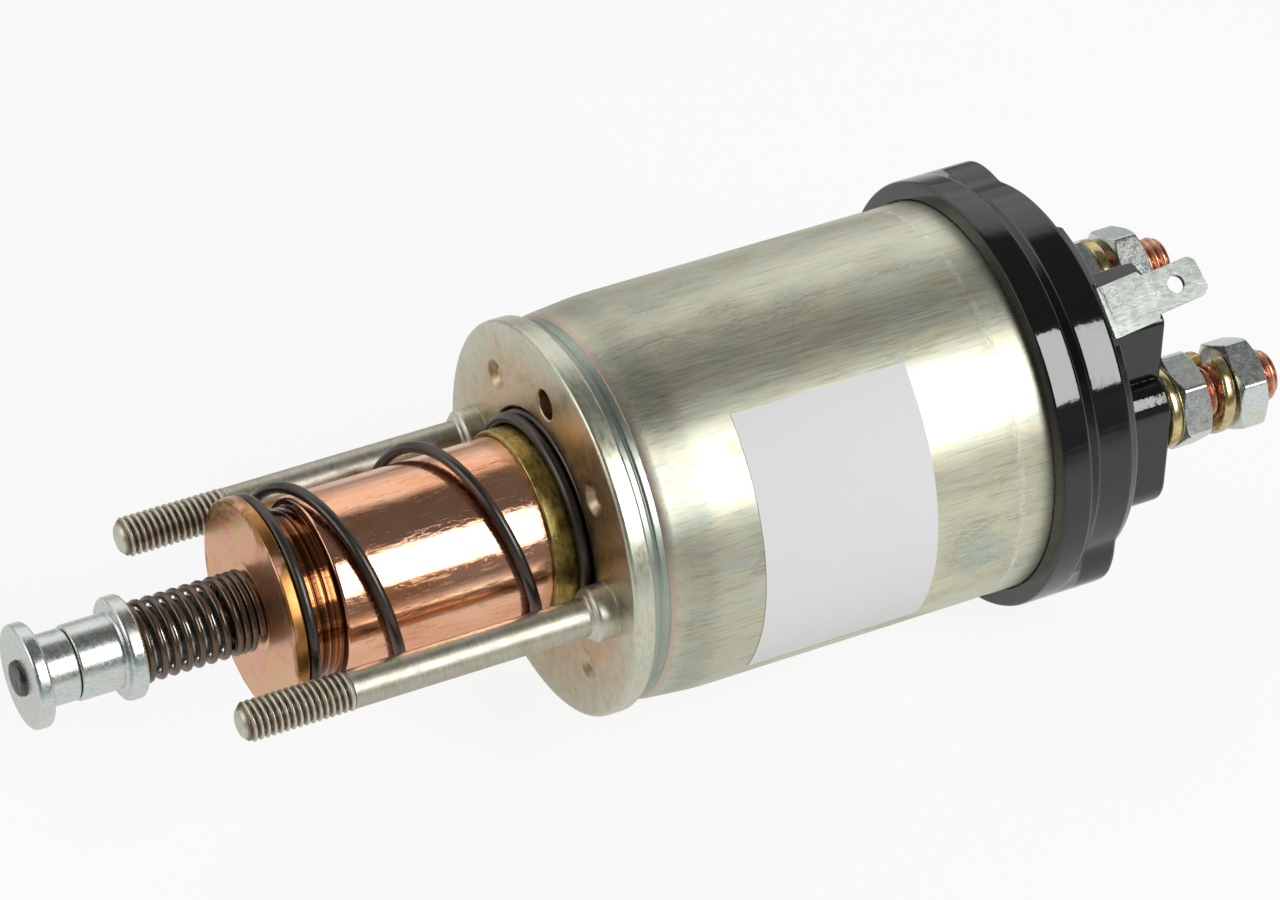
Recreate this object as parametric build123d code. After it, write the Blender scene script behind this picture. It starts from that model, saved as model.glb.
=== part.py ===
from build123d import *
import math
import os

# Starter solenoid: a steel can with a mounting flange, a plunger with its pull rod at the front,
# and a moulded cap with two terminal studs at the rear.
# X runs along the plunger axis towards the terminals, Z is up, and the origin is the centre of
# the mounting flange's front face. Lengths are in millimetres and angles in degrees, counted
# from +Y towards +Z.

# Clearances
PRESS = 0.02            # radial, between pieces pressed or cemented together
RUN = 0.08              # radial, between a sliding piece and its guide
LOOSE = 0.2             # radial, between stacked inner pieces
HOLE_FIT = 0.15         # radial, between a screw or stud and its hole
STACK = 0.1             # axial, between stacked inner pieces

# Can
CAN_RADIUS = 30.0
CAN_WALL = 2.0
CAN_LENGTH = 64.9
CAN_LIP_INSET = 1.0     # how much smaller the front lip is
CAN_SHOULDER = 9.0      # length of the rounding behind the lip
CREASE_X = 61.0         # rolled crease over the yoke plate
CREASE_WIDTH = 1.2
CREASE_DEPTH = 0.2

# Mounting flange
PLATE_THICKNESS = 3.4
PLATE_CHAMFER = 0.6
BAND_LENGTH = 2.6
BAND_INSET = 1.1
SPIGOT_LENGTH = 2.5
SEAT_DEPTH = 2.0
DIMPLE_RADIUS = 2.0
DIMPLE_DEPTH = 1.0
DIMPLE_INSET = 8.0      # from the can's outside
DIMPLE_ANGLES = (42, 133, 223, 315)
VENT_RADIUS = 2.25
VENT_INSET = 8.6
VENT_ANGLE = 88

# Mounting studs
STUD_SPREAD = 42.2      # between the two axes
STUD_THREAD_RADIUS = 3.0
STUD_THREAD_LENGTH = 16.9
STUD_SHANK_RADIUS = 2.84
STUD_REACH = 57.8       # from the flange face to the tip
STUD_TIP_CHAMFER = 1.0
STUD_TIP_DIMPLE = 0.6
STUD_COLLAR_RADIUS = 4.15
STUD_COLLAR_LENGTH = 3.3
STUD_COLLAR_CHAMFER = 0.6
STUD_COLLAR_SEAT = 0.5  # how deep the collar sits in the flange
STUD_ROOT_RADIUS = 3.3
STUD_HEAD_RADIUS = 4.5
STUD_HEAD_LENGTH = 1.5

# Guide sleeve and plunger
PLUNGER_RADIUS = 14.0
SLEEVE_WALL = 0.7
SLEEVE_REACH = 5.0      # in front of the flange
PLUNGER_FRONT = -44.4   # shoulder that carries the spring plate
PLUNGER_REAR = 24.0
PLUNGER_CHAMFER = 0.6
NECK_RADIUS = 12.75
NECK_LENGTH = 6.9
NECK_GROOVES = 3
NECK_GROOVE_DEPTH = 0.25
NECK_GROOVE_WIDTH = 0.7
PLATE_RIM_RADIUS = 16.2
PLATE_RIM_THICKNESS = 2.0
PLATE_RIM_CHAMFER = 0.35
STAKE_RADIUS = 6.5
STROKE = 11.5
STROKE_SPARE = 0.5      # left between plunger and core at full stroke

# Return spring
RETURN_WIRE = 1.75
RETURN_RADIUS = 15.4    # to the middle of the wire, at the spring plate
RETURN_FLARE = 0.6      # how much wider it is at the flange
RETURN_SHARES = (0.1, 2.4, 10.6, 10.2, 11.5, 7.2, 0.9, 0.9, 0.9)    # length shared by half turns
RETURN_STEPS = 12       # straight steps in a half turn
SMALL_SPRING_STEPS = 6
SPRING_SIDES = 8

# Pull rod, head and collar
ROD_RADIUS = 2.6
ROD_DEPTH = 20.0        # inside the plunger
ROD_PROUD = 0.8
ROD_CHAMFER = 0.4
HEAD_RADIUS = 7.75
HEAD_THICKNESS = 2.4
HEAD_FRONT = -81.9
HEAD_EDGE = 0.5
HEAD_NECK_RADIUS = 5.3
HEAD_NECK_LENGTH = 4.9
COLLAR_TUBE_RADIUS = 5.6
COLLAR_TUBE_LENGTH = 6.85
COLLAR_RADIUS = 7.65
COLLAR_THICKNESS = 2.5
COLLAR_NOSE_RADIUS = 4.5
COLLAR_NOSE_LENGTH = 13.0
COLLAR_EDGE = 0.5
COLLAR_WIRE = 1.15
COLLAR_SPRING_RADIUS = 5.5
COLLAR_PLATE_TURNS = 3
COLLAR_FREE_TURNS = 7
COLLAR_END_TURNS = 0.5

# Coil
BOBBIN_WALL = 1.2
BOBBIN_CHEEK = 1.5
PULL_IN_SHARE = 0.49    # of the room for the two windings
WRAP_THICKNESS = 0.5
COIL_GAP = 1.64         # between the wrap and the can

# Core and yoke plate
YOKE_THICKNESS = 4.3
CORE_SPIGOT_RADIUS = 9.0
CORE_IN_SLEEVE = 10.0
CORE_CHAMFER = 0.8

# Terminal cap
CAP_TURN = -2.7         # how far the cap and what it carries are turned about the axis
CAP_RIM_WALL = 3.0      # outside the can
CAP_OVERLAP = 2.2       # rim over the can
CAP_RIM_LENGTH = 4.6
CAP_RIM_GAP = 0.3
CAP_CONE_LENGTH = 3.1
CAP_DEPTH = 11.6        # behind the can
CAP_SPIGOT_DEPTH = 6.5  # inside the can
CAP_WALL = 3.0          # behind the contact chamber
CAP_SPIGOT_WALL = 2.5
GASKET = 0.8
LOBE_ANGLES = (45, 225)
LOBE_RADIUS = 12.0
LOBE_INSET = 8.5
LOBE_ROUND = 1.2
LOBE_FILLET = 2.0
PAD_THICKNESS = 1.2
PAD_ANGLES = (97, 277)
PAD_SWEEP = 109         # degrees

# Raised terminal block on the cap
BLOCK_HEIGHT = 11.45
BLOCK_HALF_WIDTH = 21.5
BLOCK_TOP = 7.3
BLOCK_BOTTOM = -16.0
BLOCK_TOP_ROUND = 5.0
BLOCK_BOTTOM_ROUND = 6.0
BLOCK_EDGE = 0.4

# Support block behind the blade
SUPPORT_NEAR = -17.2
SUPPORT_FAR = -6.5
SUPPORT_TOP = 21.6

# Terminal studs and their hardware
TERMINAL_SPREAD = 31.0
TERMINAL_RADIUS = 4.0
TERMINAL_REACH = 20.4   # behind the block
TERMINAL_TIP_CHAMFER = 0.6
TERMINAL_RELIEF = 0.6   # groove where the free end leaves the cable nut
TERMINAL_RELIEF_DEPTH = 0.3
TERMINAL_HEAD_RADIUS = 7.0
TERMINAL_HEAD_FLAT = 5.6
TERMINAL_HEAD_THICKNESS = 3.0
SEAL_THICKNESS = 0.8
SEAL_RADIUS = 6.0
WASHER_RADIUS = 6.5
WASHER_THICKNESS = 2.1
WASHER_ROUND = 0.6
NUT_FLATS = 13.0
NUT_THICKNESS = 4.9
NUT_CHAMFER_RISE = 0.55
CABLE_GAPS = (3.5, 4.9) # between lock nut and cable nut, far and near
SPLIT_SLOT = 14.0       # degrees
SPLIT_ANGLE = 86.7
LOCK_NUT_TURNS = (20, 9.7)
CABLE_NUT_TURNS = (35.7, 26.7)

# Blade terminal
BLADE_ANGLE = 128.0
BLADE_INSET = 2.4       # from the cap's body to the middle of the sheet
BLADE_SET_HEIGHT = 2.6  # between the foot's tail and the blade
BLADE_THICKNESS = 0.8
BLADE_WIDE = 8.0
BLADE_NARROW = 6.3
BLADE_WIDE_LENGTH = 6.9
BLADE_STEP = 0.5
BLADE_LENGTH = 16.5     # beyond the bend
BLADE_LEAN = 6.0
BLADE_HOLE_RADIUS = 1.4
BLADE_HOLE_FROM_TIP = 4.6
BLADE_TIP_CHAMFER = 0.9
BLADE_TIP_BEVEL = 1.1
BLADE_TIP_EDGE = 0.25
BLADE_TAIL = 4.6        # through the wall and into the contact chamber
BLADE_BEND = 0.8
LEAD_RADIUS = 0.6

# Contact set
CONTACT_GAP = 2.25
CONTACT_OVERTRAVEL = 0.75
CONTACT_SPARE = 0.05
CONTACT_ROD_RADIUS = 2.9
CONTACT_TIP_RADIUS = 2.0
CONTACT_STOP_RADIUS = 4.5
CONTACT_STOP_THICKNESS = 1.0
CONTACT_WIRE = 0.9
CONTACT_SPRING_RADIUS = 3.9
CONTACT_SPRING_TURNS = 3
BUSH_FLANGE = 1.5
BUSH_FLANGE_RADIUS = 6.0
BUSH_RADIUS = 3.2
BRIDGE_THICKNESS = 2.5
BRIDGE_HALF_LENGTH = 21.0
BRIDGE_HALF_WIDTH = 6.5
BRIDGE_WASHER = 1.2
CLIP_THICKNESS = 0.8
CLIP_RADIUS = 4.2
CONTACT_TIP_REACH = 4.3
POCKET_DEPTH = 8.0
POCKET_RADIUS = 4.6
HOMING_WIRE = 0.7
HOMING_RADIUS = 3.3
HOMING_TURNS = 5

# Cap screws
SCREW_RADIUS = 2.0
SCREW_INSET = 6.5
SCREW_HEAD_RADIUS = 3.8
SCREW_HEAD_THICKNESS = 2.4
SCREW_BOSS_RADIUS = 4.0
SCREW_SLOT_WIDTH = 1.0
SCREW_SLOT_DEPTH = 1.0

# Label
LABEL_START = 21.0
LABEL_WIDTH = 28.2
LABEL_ANGLE = 122.0
LABEL_SWEEP = 87.0      # degrees
LABEL_THICKNESS = 0.12

# Places worked out from the sizes above
FLANGE_REAR = PLATE_THICKNESS + BAND_LENGTH
SPIGOT_REAR = FLANGE_REAR + SPIGOT_LENGTH
CAN_REAR = FLANGE_REAR + CAN_LENGTH
CAN_BORE = CAN_RADIUS - CAN_WALL
DIMPLE_CIRCLE = CAN_RADIUS - DIMPLE_INSET
VENT_CIRCLE = CAN_RADIUS - VENT_INSET
SLEEVE_BORE = PLUNGER_RADIUS + RUN
SLEEVE_RADIUS = SLEEVE_BORE + SLEEVE_WALL
CORE_FRONT = PLUNGER_REAR + STROKE + STROKE_SPARE
SLEEVE_REAR = CORE_FRONT + CORE_IN_SLEEVE
YOKE_REAR = CAN_REAR - CAP_SPIGOT_DEPTH
YOKE_FRONT = YOKE_REAR - YOKE_THICKNESS
BOBBIN_FRONT = SPIGOT_REAR + STACK
BOBBIN_REAR = YOKE_FRONT - STACK
BOBBIN_BORE = SLEEVE_RADIUS + PRESS
WINDING_FRONT = BOBBIN_FRONT + BOBBIN_CHEEK + STACK
WINDING_REAR = BOBBIN_REAR - BOBBIN_CHEEK - STACK
WRAP_OUTER = CAN_BORE - COIL_GAP
WRAP_INNER = WRAP_OUTER - WRAP_THICKNESS
PULL_IN_INNER = BOBBIN_BORE + BOBBIN_WALL + PRESS
HOLD_IN_OUTER = WRAP_INNER - PRESS
WINDING_ROOM = HOLD_IN_OUTER - PRESS - PULL_IN_INNER
PULL_IN_OUTER = PULL_IN_INNER + PULL_IN_SHARE * WINDING_ROOM
HOLD_IN_INNER = PULL_IN_OUTER + PRESS
CAP_RADIUS = CAN_RADIUS + CAP_RIM_WALL
CAP_BODY_RADIUS = CAN_RADIUS
CAP_REAR = CAN_REAR + CAP_DEPTH
BLOCK_REAR = CAP_REAR + BLOCK_HEIGHT
LOBE_CIRCLE = CAP_BODY_RADIUS - LOBE_INSET
SCREW_CIRCLE = CAP_BODY_RADIUS - SCREW_INSET
BLADE_OFFSET = CAP_BODY_RADIUS - BLADE_INSET
BLADE_FOOT_INNER = BLADE_OFFSET - BLADE_SET_HEIGHT
TERMINAL_TIP = BLOCK_REAR + TERMINAL_REACH
CAP_FRONT = CAN_REAR - CAP_OVERLAP
CAP_RIM_REAR = CAP_FRONT + CAP_RIM_LENGTH
CAP_SHOULDER = CAN_REAR + GASKET
CAP_SPIGOT_RADIUS = CAN_BORE - LOOSE
CHAMBER_RADIUS = CAP_SPIGOT_RADIUS - CAP_SPIGOT_WALL
CHAMBER_REAR = CAP_REAR - CAP_WALL
HEAD_FACE = CHAMBER_REAR - TERMINAL_HEAD_THICKNESS
TERMINAL_HOLE = TERMINAL_RADIUS + HOLE_FIT
BRIDGE_REAR = HEAD_FACE - CONTACT_GAP - CONTACT_SPARE
BRIDGE_FRONT = BRIDGE_REAR - BRIDGE_THICKNESS
BUSH_FRONT = BRIDGE_FRONT - BUSH_FLANGE
CLIP_FRONT = BRIDGE_REAR + BRIDGE_WASHER
CLIP_REAR = CLIP_FRONT + CLIP_THICKNESS
STOP_FRONT = YOKE_REAR + STACK
STOP_REAR = STOP_FRONT + CONTACT_STOP_THICKNESS
CONTACT_STROKE = CONTACT_GAP + CONTACT_OVERTRAVEL
CONTACT_ROD_FRONT = PLUNGER_REAR + STROKE - CONTACT_STROKE + STACK
POCKET_END = CHAMBER_REAR + POCKET_DEPTH
SPRING_PLATE_FRONT = PLUNGER_FRONT - PLATE_RIM_THICKNESS
HEAD_REAR = HEAD_FRONT + HEAD_THICKNESS
COLLAR_FRONT = HEAD_REAR + HEAD_NECK_LENGTH + STACK
COLLAR_FLANGE = COLLAR_FRONT + COLLAR_TUBE_LENGTH
COLLAR_REAR = COLLAR_FLANGE + COLLAR_THICKNESS
LOCK_NUT_FRONT = BLOCK_REAR + WASHER_THICKNESS
LOCK_NUT_REAR = LOCK_NUT_FRONT + NUT_THICKNESS
TERMINAL_PLACES = (TERMINAL_SPREAD / 2, -TERMINAL_SPREAD / 2)
STUD_PLACES = (STUD_SPREAD / 2, -STUD_SPREAD / 2)
LEAD_OFFSET = BLADE_FOOT_INNER - BLADE_THICKNESS / 2 - LEAD_RADIUS


# Helpers

def plane_at(x):
    """Plane across the axis at x, its own x along Y and its own y along Z."""
    return Plane(origin=(x, 0, 0), x_dir=(0, 1, 0), z_dir=(1, 0, 0))


def polar(radius, angle):
    """Point (y, z) at a radius and an angle about the axis."""
    turn = math.radians(angle)
    return radius * math.cos(turn), radius * math.sin(turn)


def bar(start, end, radius, place=(0, 0)):
    """Round bar along X."""
    disc = plane_at(start) * Pos(*place) * Circle(radius)
    return extrude(disc, end - start)


def ring(start, end, outer, inner, place=(0, 0)):
    """Round tube along X."""
    section = plane_at(start) * Pos(*place) * (Circle(outer) - Circle(inner))
    return extrude(section, end - start)


def turned(*outline):
    """Body turned about the axis from (x, radius) points that close on themselves."""
    return revolve(make_face(Polyline(*outline, close=True)), Axis.X)


def coil_spring(start, rises, radius, wire, steps, flare=0):
    """Right-handed spring wound about X. Each half turn gains its own rise, in a few straight steps."""
    points = []
    x = start
    for half, rise in enumerate(rises):
        for step in range(steps):
            turned_by = half + step / steps
            widened = radius + flare * turned_by / len(rises)
            points.append((x + rise * step / steps, *polar(widened, 180 * turned_by)))
        x += rise
    points.append((x, *polar(radius + flare, 180 * len(rises))))
    path = Polyline(*points)
    section = Plane(origin=path @ 0, z_dir=path % 0) * RegularPolygon(wire / 2, SPRING_SIDES)
    return sweep(section, path=path, transition=Transition.RIGHT)


def even_rises(length, turns):
    """Half-turn rises that share a length evenly."""
    halves = round(2 * turns)
    return [length / halves] * halves


def plain_spring(start, end, turns, radius, wire):
    """Spring of even pitch that fills the length between two faces."""
    rises = even_rises(end - start - wire, turns)
    return coil_spring(start + wire / 2, rises, radius, wire, SMALL_SPRING_STEPS)


def hex_nut(front, place, turn):
    """Nut with chamfered corners at both ends."""
    rear = front + NUT_THICKNESS
    corner = NUT_FLATS / math.sqrt(3)
    face = 0.95 * NUT_FLATS / 2
    rise = NUT_CHAMFER_RISE
    hexagon = RegularPolygon(corner, 6, rotation=turn)
    prism = extrude(plane_at(front) * hexagon, NUT_THICKNESS)
    trim = turned((front, 0), (front, face), (front + rise, corner), (rear - rise, corner),
                  (rear, face), (rear, 0))
    nut = (prism & trim) - bar(front, rear, TERMINAL_HOLE)
    return Pos(0, *place) * nut


# Housing

def make_housing_can():
    front = FLANGE_REAR
    lip = CAN_RADIUS - CAN_LIP_INSET
    shoulder = front + CAN_SHOULDER
    half = CREASE_WIDTH / 2
    outline = Curve() + [
        Line((front, CAN_BORE), (front, lip)),
        TangentArc((shoulder, CAN_RADIUS), (front, lip), tangent=(-1, 0)),
        Polyline((shoulder, CAN_RADIUS), (CREASE_X - half, CAN_RADIUS),
                 (CREASE_X, CAN_RADIUS - CREASE_DEPTH), (CREASE_X + half, CAN_RADIUS),
                 (CAN_REAR, CAN_RADIUS), (CAN_REAR, CAN_BORE), (front, CAN_BORE)),
    ]
    return revolve(make_face(outline), Axis.X)


def make_mounting_flange():
    band = CAN_RADIUS - BAND_INSET
    bore = SLEEVE_RADIUS + PRESS
    seat = RETURN_RADIUS + RETURN_FLARE + RETURN_WIRE / 2 + LOOSE
    chamfer = PLATE_CHAMFER
    flange = turned(
        (SEAT_DEPTH, bore), (SEAT_DEPTH, seat), (0, seat), (0, CAN_RADIUS - chamfer),
        (chamfer, CAN_RADIUS), (PLATE_THICKNESS, CAN_RADIUS), (PLATE_THICKNESS, band),
        (FLANGE_REAR, band), (FLANGE_REAR, CAN_BORE - STACK), (SPIGOT_REAR, CAN_BORE - STACK),
        (SPIGOT_REAR, bore),
    )
    for angle in DIMPLE_ANGLES:
        flange -= bar(0, DIMPLE_DEPTH, DIMPLE_RADIUS, polar(DIMPLE_CIRCLE, angle))
    flange -= bar(0, SPIGOT_REAR, VENT_RADIUS, polar(VENT_CIRCLE, VENT_ANGLE))
    for y in STUD_PLACES:
        flange -= bar(0, STUD_COLLAR_SEAT, STUD_COLLAR_RADIUS + PRESS, (y, 0))
        flange -= bar(0, SPIGOT_REAR, STUD_ROOT_RADIUS + PRESS, (y, 0))
        flange -= bar(SPIGOT_REAR - STUD_HEAD_LENGTH, SPIGOT_REAR, STUD_HEAD_RADIUS + PRESS, (y, 0))
    return flange


def make_mounting_studs():
    tip = -STUD_REACH
    thread_end = tip + STUD_THREAD_LENGTH
    head = SPIGOT_REAR - STUD_HEAD_LENGTH
    chamfer = STUD_TIP_CHAMFER
    dimple = STUD_TIP_DIMPLE
    collar = -STUD_COLLAR_LENGTH
    edge = STUD_COLLAR_CHAMFER
    stud = turned(
        (tip + dimple / 2, 0), (tip, dimple), (tip, STUD_THREAD_RADIUS - chamfer),
        (tip + chamfer, STUD_THREAD_RADIUS), (thread_end, STUD_THREAD_RADIUS),
        (thread_end, STUD_SHANK_RADIUS), (collar, STUD_SHANK_RADIUS),
        (collar, STUD_COLLAR_RADIUS - edge), (collar + edge, STUD_COLLAR_RADIUS),
        (STUD_COLLAR_SEAT, STUD_COLLAR_RADIUS), (STUD_COLLAR_SEAT, STUD_ROOT_RADIUS),
        (head, STUD_ROOT_RADIUS), (head, STUD_HEAD_RADIUS), (SPIGOT_REAR, STUD_HEAD_RADIUS),
        (SPIGOT_REAR, 0),
    )
    return [Pos(0, y, 0) * stud for y in STUD_PLACES]


def make_brass_sleeve():
    return ring(-SLEEVE_REACH, SLEEVE_REAR, SLEEVE_RADIUS, SLEEVE_BORE)


def make_coil_bobbin():
    cheek = CAN_BORE - LOOSE
    tube = BOBBIN_BORE + BOBBIN_WALL
    bobbin = turned(
        (BOBBIN_FRONT, BOBBIN_BORE), (BOBBIN_FRONT, cheek), (BOBBIN_FRONT + BOBBIN_CHEEK, cheek),
        (BOBBIN_FRONT + BOBBIN_CHEEK, tube), (BOBBIN_REAR - BOBBIN_CHEEK, tube),
        (BOBBIN_REAR - BOBBIN_CHEEK, cheek), (BOBBIN_REAR, cheek), (BOBBIN_REAR, BOBBIN_BORE),
    )
    lead_hole = bar(WINDING_REAR, BOBBIN_REAR, LEAD_RADIUS + LOOSE, polar(LEAD_OFFSET, BLADE_ANGLE))
    return bobbin - lead_hole


def make_fixed_core():
    radius = SLEEVE_BORE - PRESS
    bore = CONTACT_ROD_RADIUS + RUN
    return turned(
        (CORE_FRONT, bore), (CORE_FRONT, radius - CORE_CHAMFER), (CORE_FRONT + CORE_CHAMFER, radius),
        (YOKE_FRONT, radius), (YOKE_FRONT, CORE_SPIGOT_RADIUS), (YOKE_REAR, CORE_SPIGOT_RADIUS),
        (YOKE_REAR, bore),
    )


def make_yoke_plate():
    yoke = ring(YOKE_FRONT, YOKE_REAR, CAN_BORE - STACK, CORE_SPIGOT_RADIUS + PRESS)
    yoke -= bar(YOKE_FRONT, YOKE_REAR, LEAD_RADIUS + LOOSE, polar(LEAD_OFFSET, BLADE_ANGLE))
    for angle in LOBE_ANGLES:
        yoke -= bar(YOKE_FRONT, YOKE_REAR, SCREW_RADIUS + PRESS, polar(SCREW_CIRCLE, angle))
    return yoke


# Terminal cap

def blade_frame():
    """Plane through the blade's foot: its own x along the blade's width, its own y outwards."""
    across = (0, *polar(1, BLADE_ANGLE - 90))
    return Plane(origin=(CAP_REAR, 0, 0), x_dir=across, z_dir=(1, 0, 0))


def make_lobed_body():
    """Body that swells into two lobes flush with the rim, rounded along the lobes' rear edge."""
    rear_start = CAP_REAR - LOBE_ROUND
    inner = CAP_RADIUS - LOBE_ROUND
    middle = LOBE_ROUND * math.sqrt(0.5)
    outline = Curve() + [
        Polyline((CAP_REAR, inner), (CAP_REAR, 0), (CAP_RIM_REAR, 0), (CAP_RIM_REAR, CAP_RADIUS),
                 (rear_start, CAP_RADIUS)),
        ThreePointArc((rear_start, CAP_RADIUS), (rear_start + middle, inner + middle),
                      (CAP_REAR, inner)),
    ]
    rounded = revolve(make_face(outline), Axis.X)
    plan = Rot(Z=LOBE_ANGLES[0]) * Circle(CAP_BODY_RADIUS)
    for angle in LOBE_ANGLES:
        plan += Pos(*polar(LOBE_CIRCLE, angle)) * Rot(Z=angle + 180) * Circle(LOBE_RADIUS)
    plan = fillet(plan.vertices(), LOBE_FILLET)
    return rounded & extrude(plane_at(CAP_RIM_REAR) * plan, CAP_REAR - CAP_RIM_REAR)


def make_cap_pads():
    """Two raised pads along the rear edge, chamfered outside, with a notch for the blade's foot."""
    inner = CHAMBER_RADIUS - CAP_SPIGOT_WALL
    outer = CAP_BODY_RADIUS
    top = CAP_REAR + PAD_THICKNESS
    section = make_face(Polyline((CAP_REAR, inner), (top, inner), (top, outer - PAD_THICKNESS),
                                 (CAP_REAR, outer), close=True))
    pads = []
    for angle in PAD_ANGLES:
        pads.append(Rot(X=angle) * revolve(section, Axis.X, PAD_SWEEP))
    notch = blade_frame() * Pos(0, outer) * Rectangle(BLADE_WIDE + 2 * LOOSE, 2 * (outer - inner))
    return [pad - extrude(notch, PAD_THICKNESS) for pad in pads]


def make_terminal_block():
    """Raised block that carries both studs."""
    middle = (BLOCK_TOP + BLOCK_BOTTOM) / 2
    face = Pos(0, middle) * Rectangle(2 * BLOCK_HALF_WIDTH, BLOCK_TOP - BLOCK_BOTTOM)
    corners = face.vertices().sort_by(Axis.Y)
    face = fillet(corners[2:], BLOCK_TOP_ROUND)
    face = fillet(face.vertices().sort_by(Axis.Y)[:2], BLOCK_BOTTOM_ROUND)
    return face


def make_terminal_cap():
    rim_bore = CAN_RADIUS + CAP_RIM_GAP
    cone_rear = CAP_RIM_REAR + CAP_CONE_LENGTH
    cap = turned(
        (CAP_FRONT, rim_bore), (CAP_FRONT, CAP_RADIUS), (CAP_RIM_REAR, CAP_RADIUS),
        (cone_rear, CAP_BODY_RADIUS), (CAP_REAR, CAP_BODY_RADIUS), (CAP_REAR, 0),
        (CHAMBER_REAR, 0), (CHAMBER_REAR, CHAMBER_RADIUS), (YOKE_REAR + STACK, CHAMBER_RADIUS),
        (YOKE_REAR + STACK, CAP_SPIGOT_RADIUS), (CAP_SHOULDER, CAP_SPIGOT_RADIUS),
        (CAP_SHOULDER, rim_bore),
    )
    chamber = bar(YOKE_REAR, CHAMBER_REAR, CHAMBER_RADIUS)
    cap += make_lobed_body() - chamber
    for pad in make_cap_pads():
        cap += pad
    block = extrude(plane_at(CAP_REAR) * make_terminal_block(), BLOCK_REAR - CAP_REAR)
    block = chamfer(block.faces().sort_by(Axis.X)[-1].edges(), BLOCK_EDGE)
    support_height = SUPPORT_TOP - BLOCK_BOTTOM
    support = Pos((SUPPORT_NEAR + SUPPORT_FAR) / 2, (SUPPORT_TOP + BLOCK_BOTTOM) / 2) * Rectangle(
        SUPPORT_FAR - SUPPORT_NEAR, support_height)
    support = extrude(plane_at(CAP_REAR) * support, BLOCK_REAR - CAP_REAR)
    blade_back = BLADE_FOOT_INNER - BLADE_THICKNESS / 2 - LOOSE
    beyond = blade_frame() * Pos(0, blade_back + CAP_RADIUS / 2) * Rectangle(CAP_RADIUS * 2, CAP_RADIUS)
    support -= extrude(beyond, BLOCK_REAR - CAP_REAR)
    cap += block + support
    for angle in LOBE_ANGLES:
        place = polar(SCREW_CIRCLE, angle)
        cap += bar(YOKE_REAR + STACK, CHAMBER_REAR, SCREW_BOSS_RADIUS, place) & bar(
            YOKE_REAR, CAP_REAR, CAP_SPIGOT_RADIUS)
        cap -= bar(YOKE_REAR, CAP_REAR, SCREW_RADIUS + HOLE_FIT, place)
        cap -= bar(CAP_REAR - SCREW_HEAD_THICKNESS, CAP_REAR, SCREW_HEAD_RADIUS + LOOSE, place)
    for y in TERMINAL_PLACES:
        cap -= bar(CHAMBER_REAR, BLOCK_REAR, TERMINAL_HOLE, (y, 0))
        cap -= bar(CHAMBER_REAR, CHAMBER_REAR + SEAL_THICKNESS, SEAL_RADIUS + PRESS, (y, 0))
    cap -= bar(CHAMBER_REAR, POCKET_END, POCKET_RADIUS)
    slot = blade_frame() * Pos(0, BLADE_FOOT_INNER) * Rectangle(
        BLADE_WIDE + 2 * PRESS, BLADE_THICKNESS + 2 * PRESS)
    cap -= extrude(slot, -BLADE_TAIL - LOOSE)
    return cap


def make_cap_screws():
    seat = CAP_REAR - SCREW_HEAD_THICKNESS
    screw = bar(YOKE_FRONT, seat, SCREW_RADIUS) + bar(seat, CAP_REAR, SCREW_HEAD_RADIUS)
    slot = plane_at(CAP_REAR) * Rectangle(2 * SCREW_HEAD_RADIUS, SCREW_SLOT_WIDTH)
    screw -= extrude(slot, -SCREW_SLOT_DEPTH)
    return [Pos(0, *polar(SCREW_CIRCLE, angle)) * screw for angle in LOBE_ANGLES]


def make_terminal_stud(y, gap):
    tip = TERMINAL_TIP
    chamfer = TERMINAL_TIP_CHAMFER
    nut_rear = LOCK_NUT_REAR + gap + NUT_THICKNESS
    relief = nut_rear - TERMINAL_RELIEF
    root = TERMINAL_RADIUS - TERMINAL_RELIEF_DEPTH
    stud = turned(
        (HEAD_FACE, 0), (HEAD_FACE, TERMINAL_HEAD_RADIUS), (CHAMBER_REAR, TERMINAL_HEAD_RADIUS),
        (CHAMBER_REAR, TERMINAL_RADIUS), (relief, TERMINAL_RADIUS), (relief, root),
        (nut_rear, root), (nut_rear, TERMINAL_RADIUS), (tip - chamfer, TERMINAL_RADIUS),
        (tip, TERMINAL_RADIUS - chamfer), (tip, 0),
    )
    flats = extrude(plane_at(HEAD_FACE) * Rectangle(2 * TERMINAL_HEAD_RADIUS, 2 * TERMINAL_HEAD_FLAT),
                    tip - HEAD_FACE)
    return Pos(0, y, 0) * (stud & flats)


def make_spring_washer(y):
    """Closed spring washer with rounded edges."""
    front = BLOCK_REAR
    rear = LOCK_NUT_FRONT
    edge = WASHER_ROUND
    outer = WASHER_RADIUS
    washer = turned(
        (front, TERMINAL_HOLE), (front, outer - edge), (front + edge, outer), (rear - edge, outer),
        (rear, outer - edge), (rear, TERMINAL_HOLE),
    )
    return Pos(0, y, 0) * washer


def make_split_washer(y, gap):
    """Split washer of two half turns, its cut ends against the two nuts."""
    width = WASHER_RADIUS - TERMINAL_HOLE
    middle = TERMINAL_HOLE + width / 2
    first = LOCK_NUT_REAR + WASHER_THICKNESS / 2
    rise = gap - WASHER_THICKNESS
    span = 360 - SPLIT_SLOT
    path = Helix(pitch=rise * 360 / span, height=rise, radius=middle, direction=(1, 0, 0))
    start = path @ 0
    along = path % 0
    section = Plane(origin=start, x_dir=(1, 0, 0), z_dir=along) * Rectangle(WASHER_THICKNESS, width)
    section = fillet(section.vertices(), WASHER_ROUND)
    washer = sweep(section, path=path, is_frenet=True)
    return Pos(first, y, 0) * Rot(X=SPLIT_ANGLE + SPLIT_SLOT / 2) * washer


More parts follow.
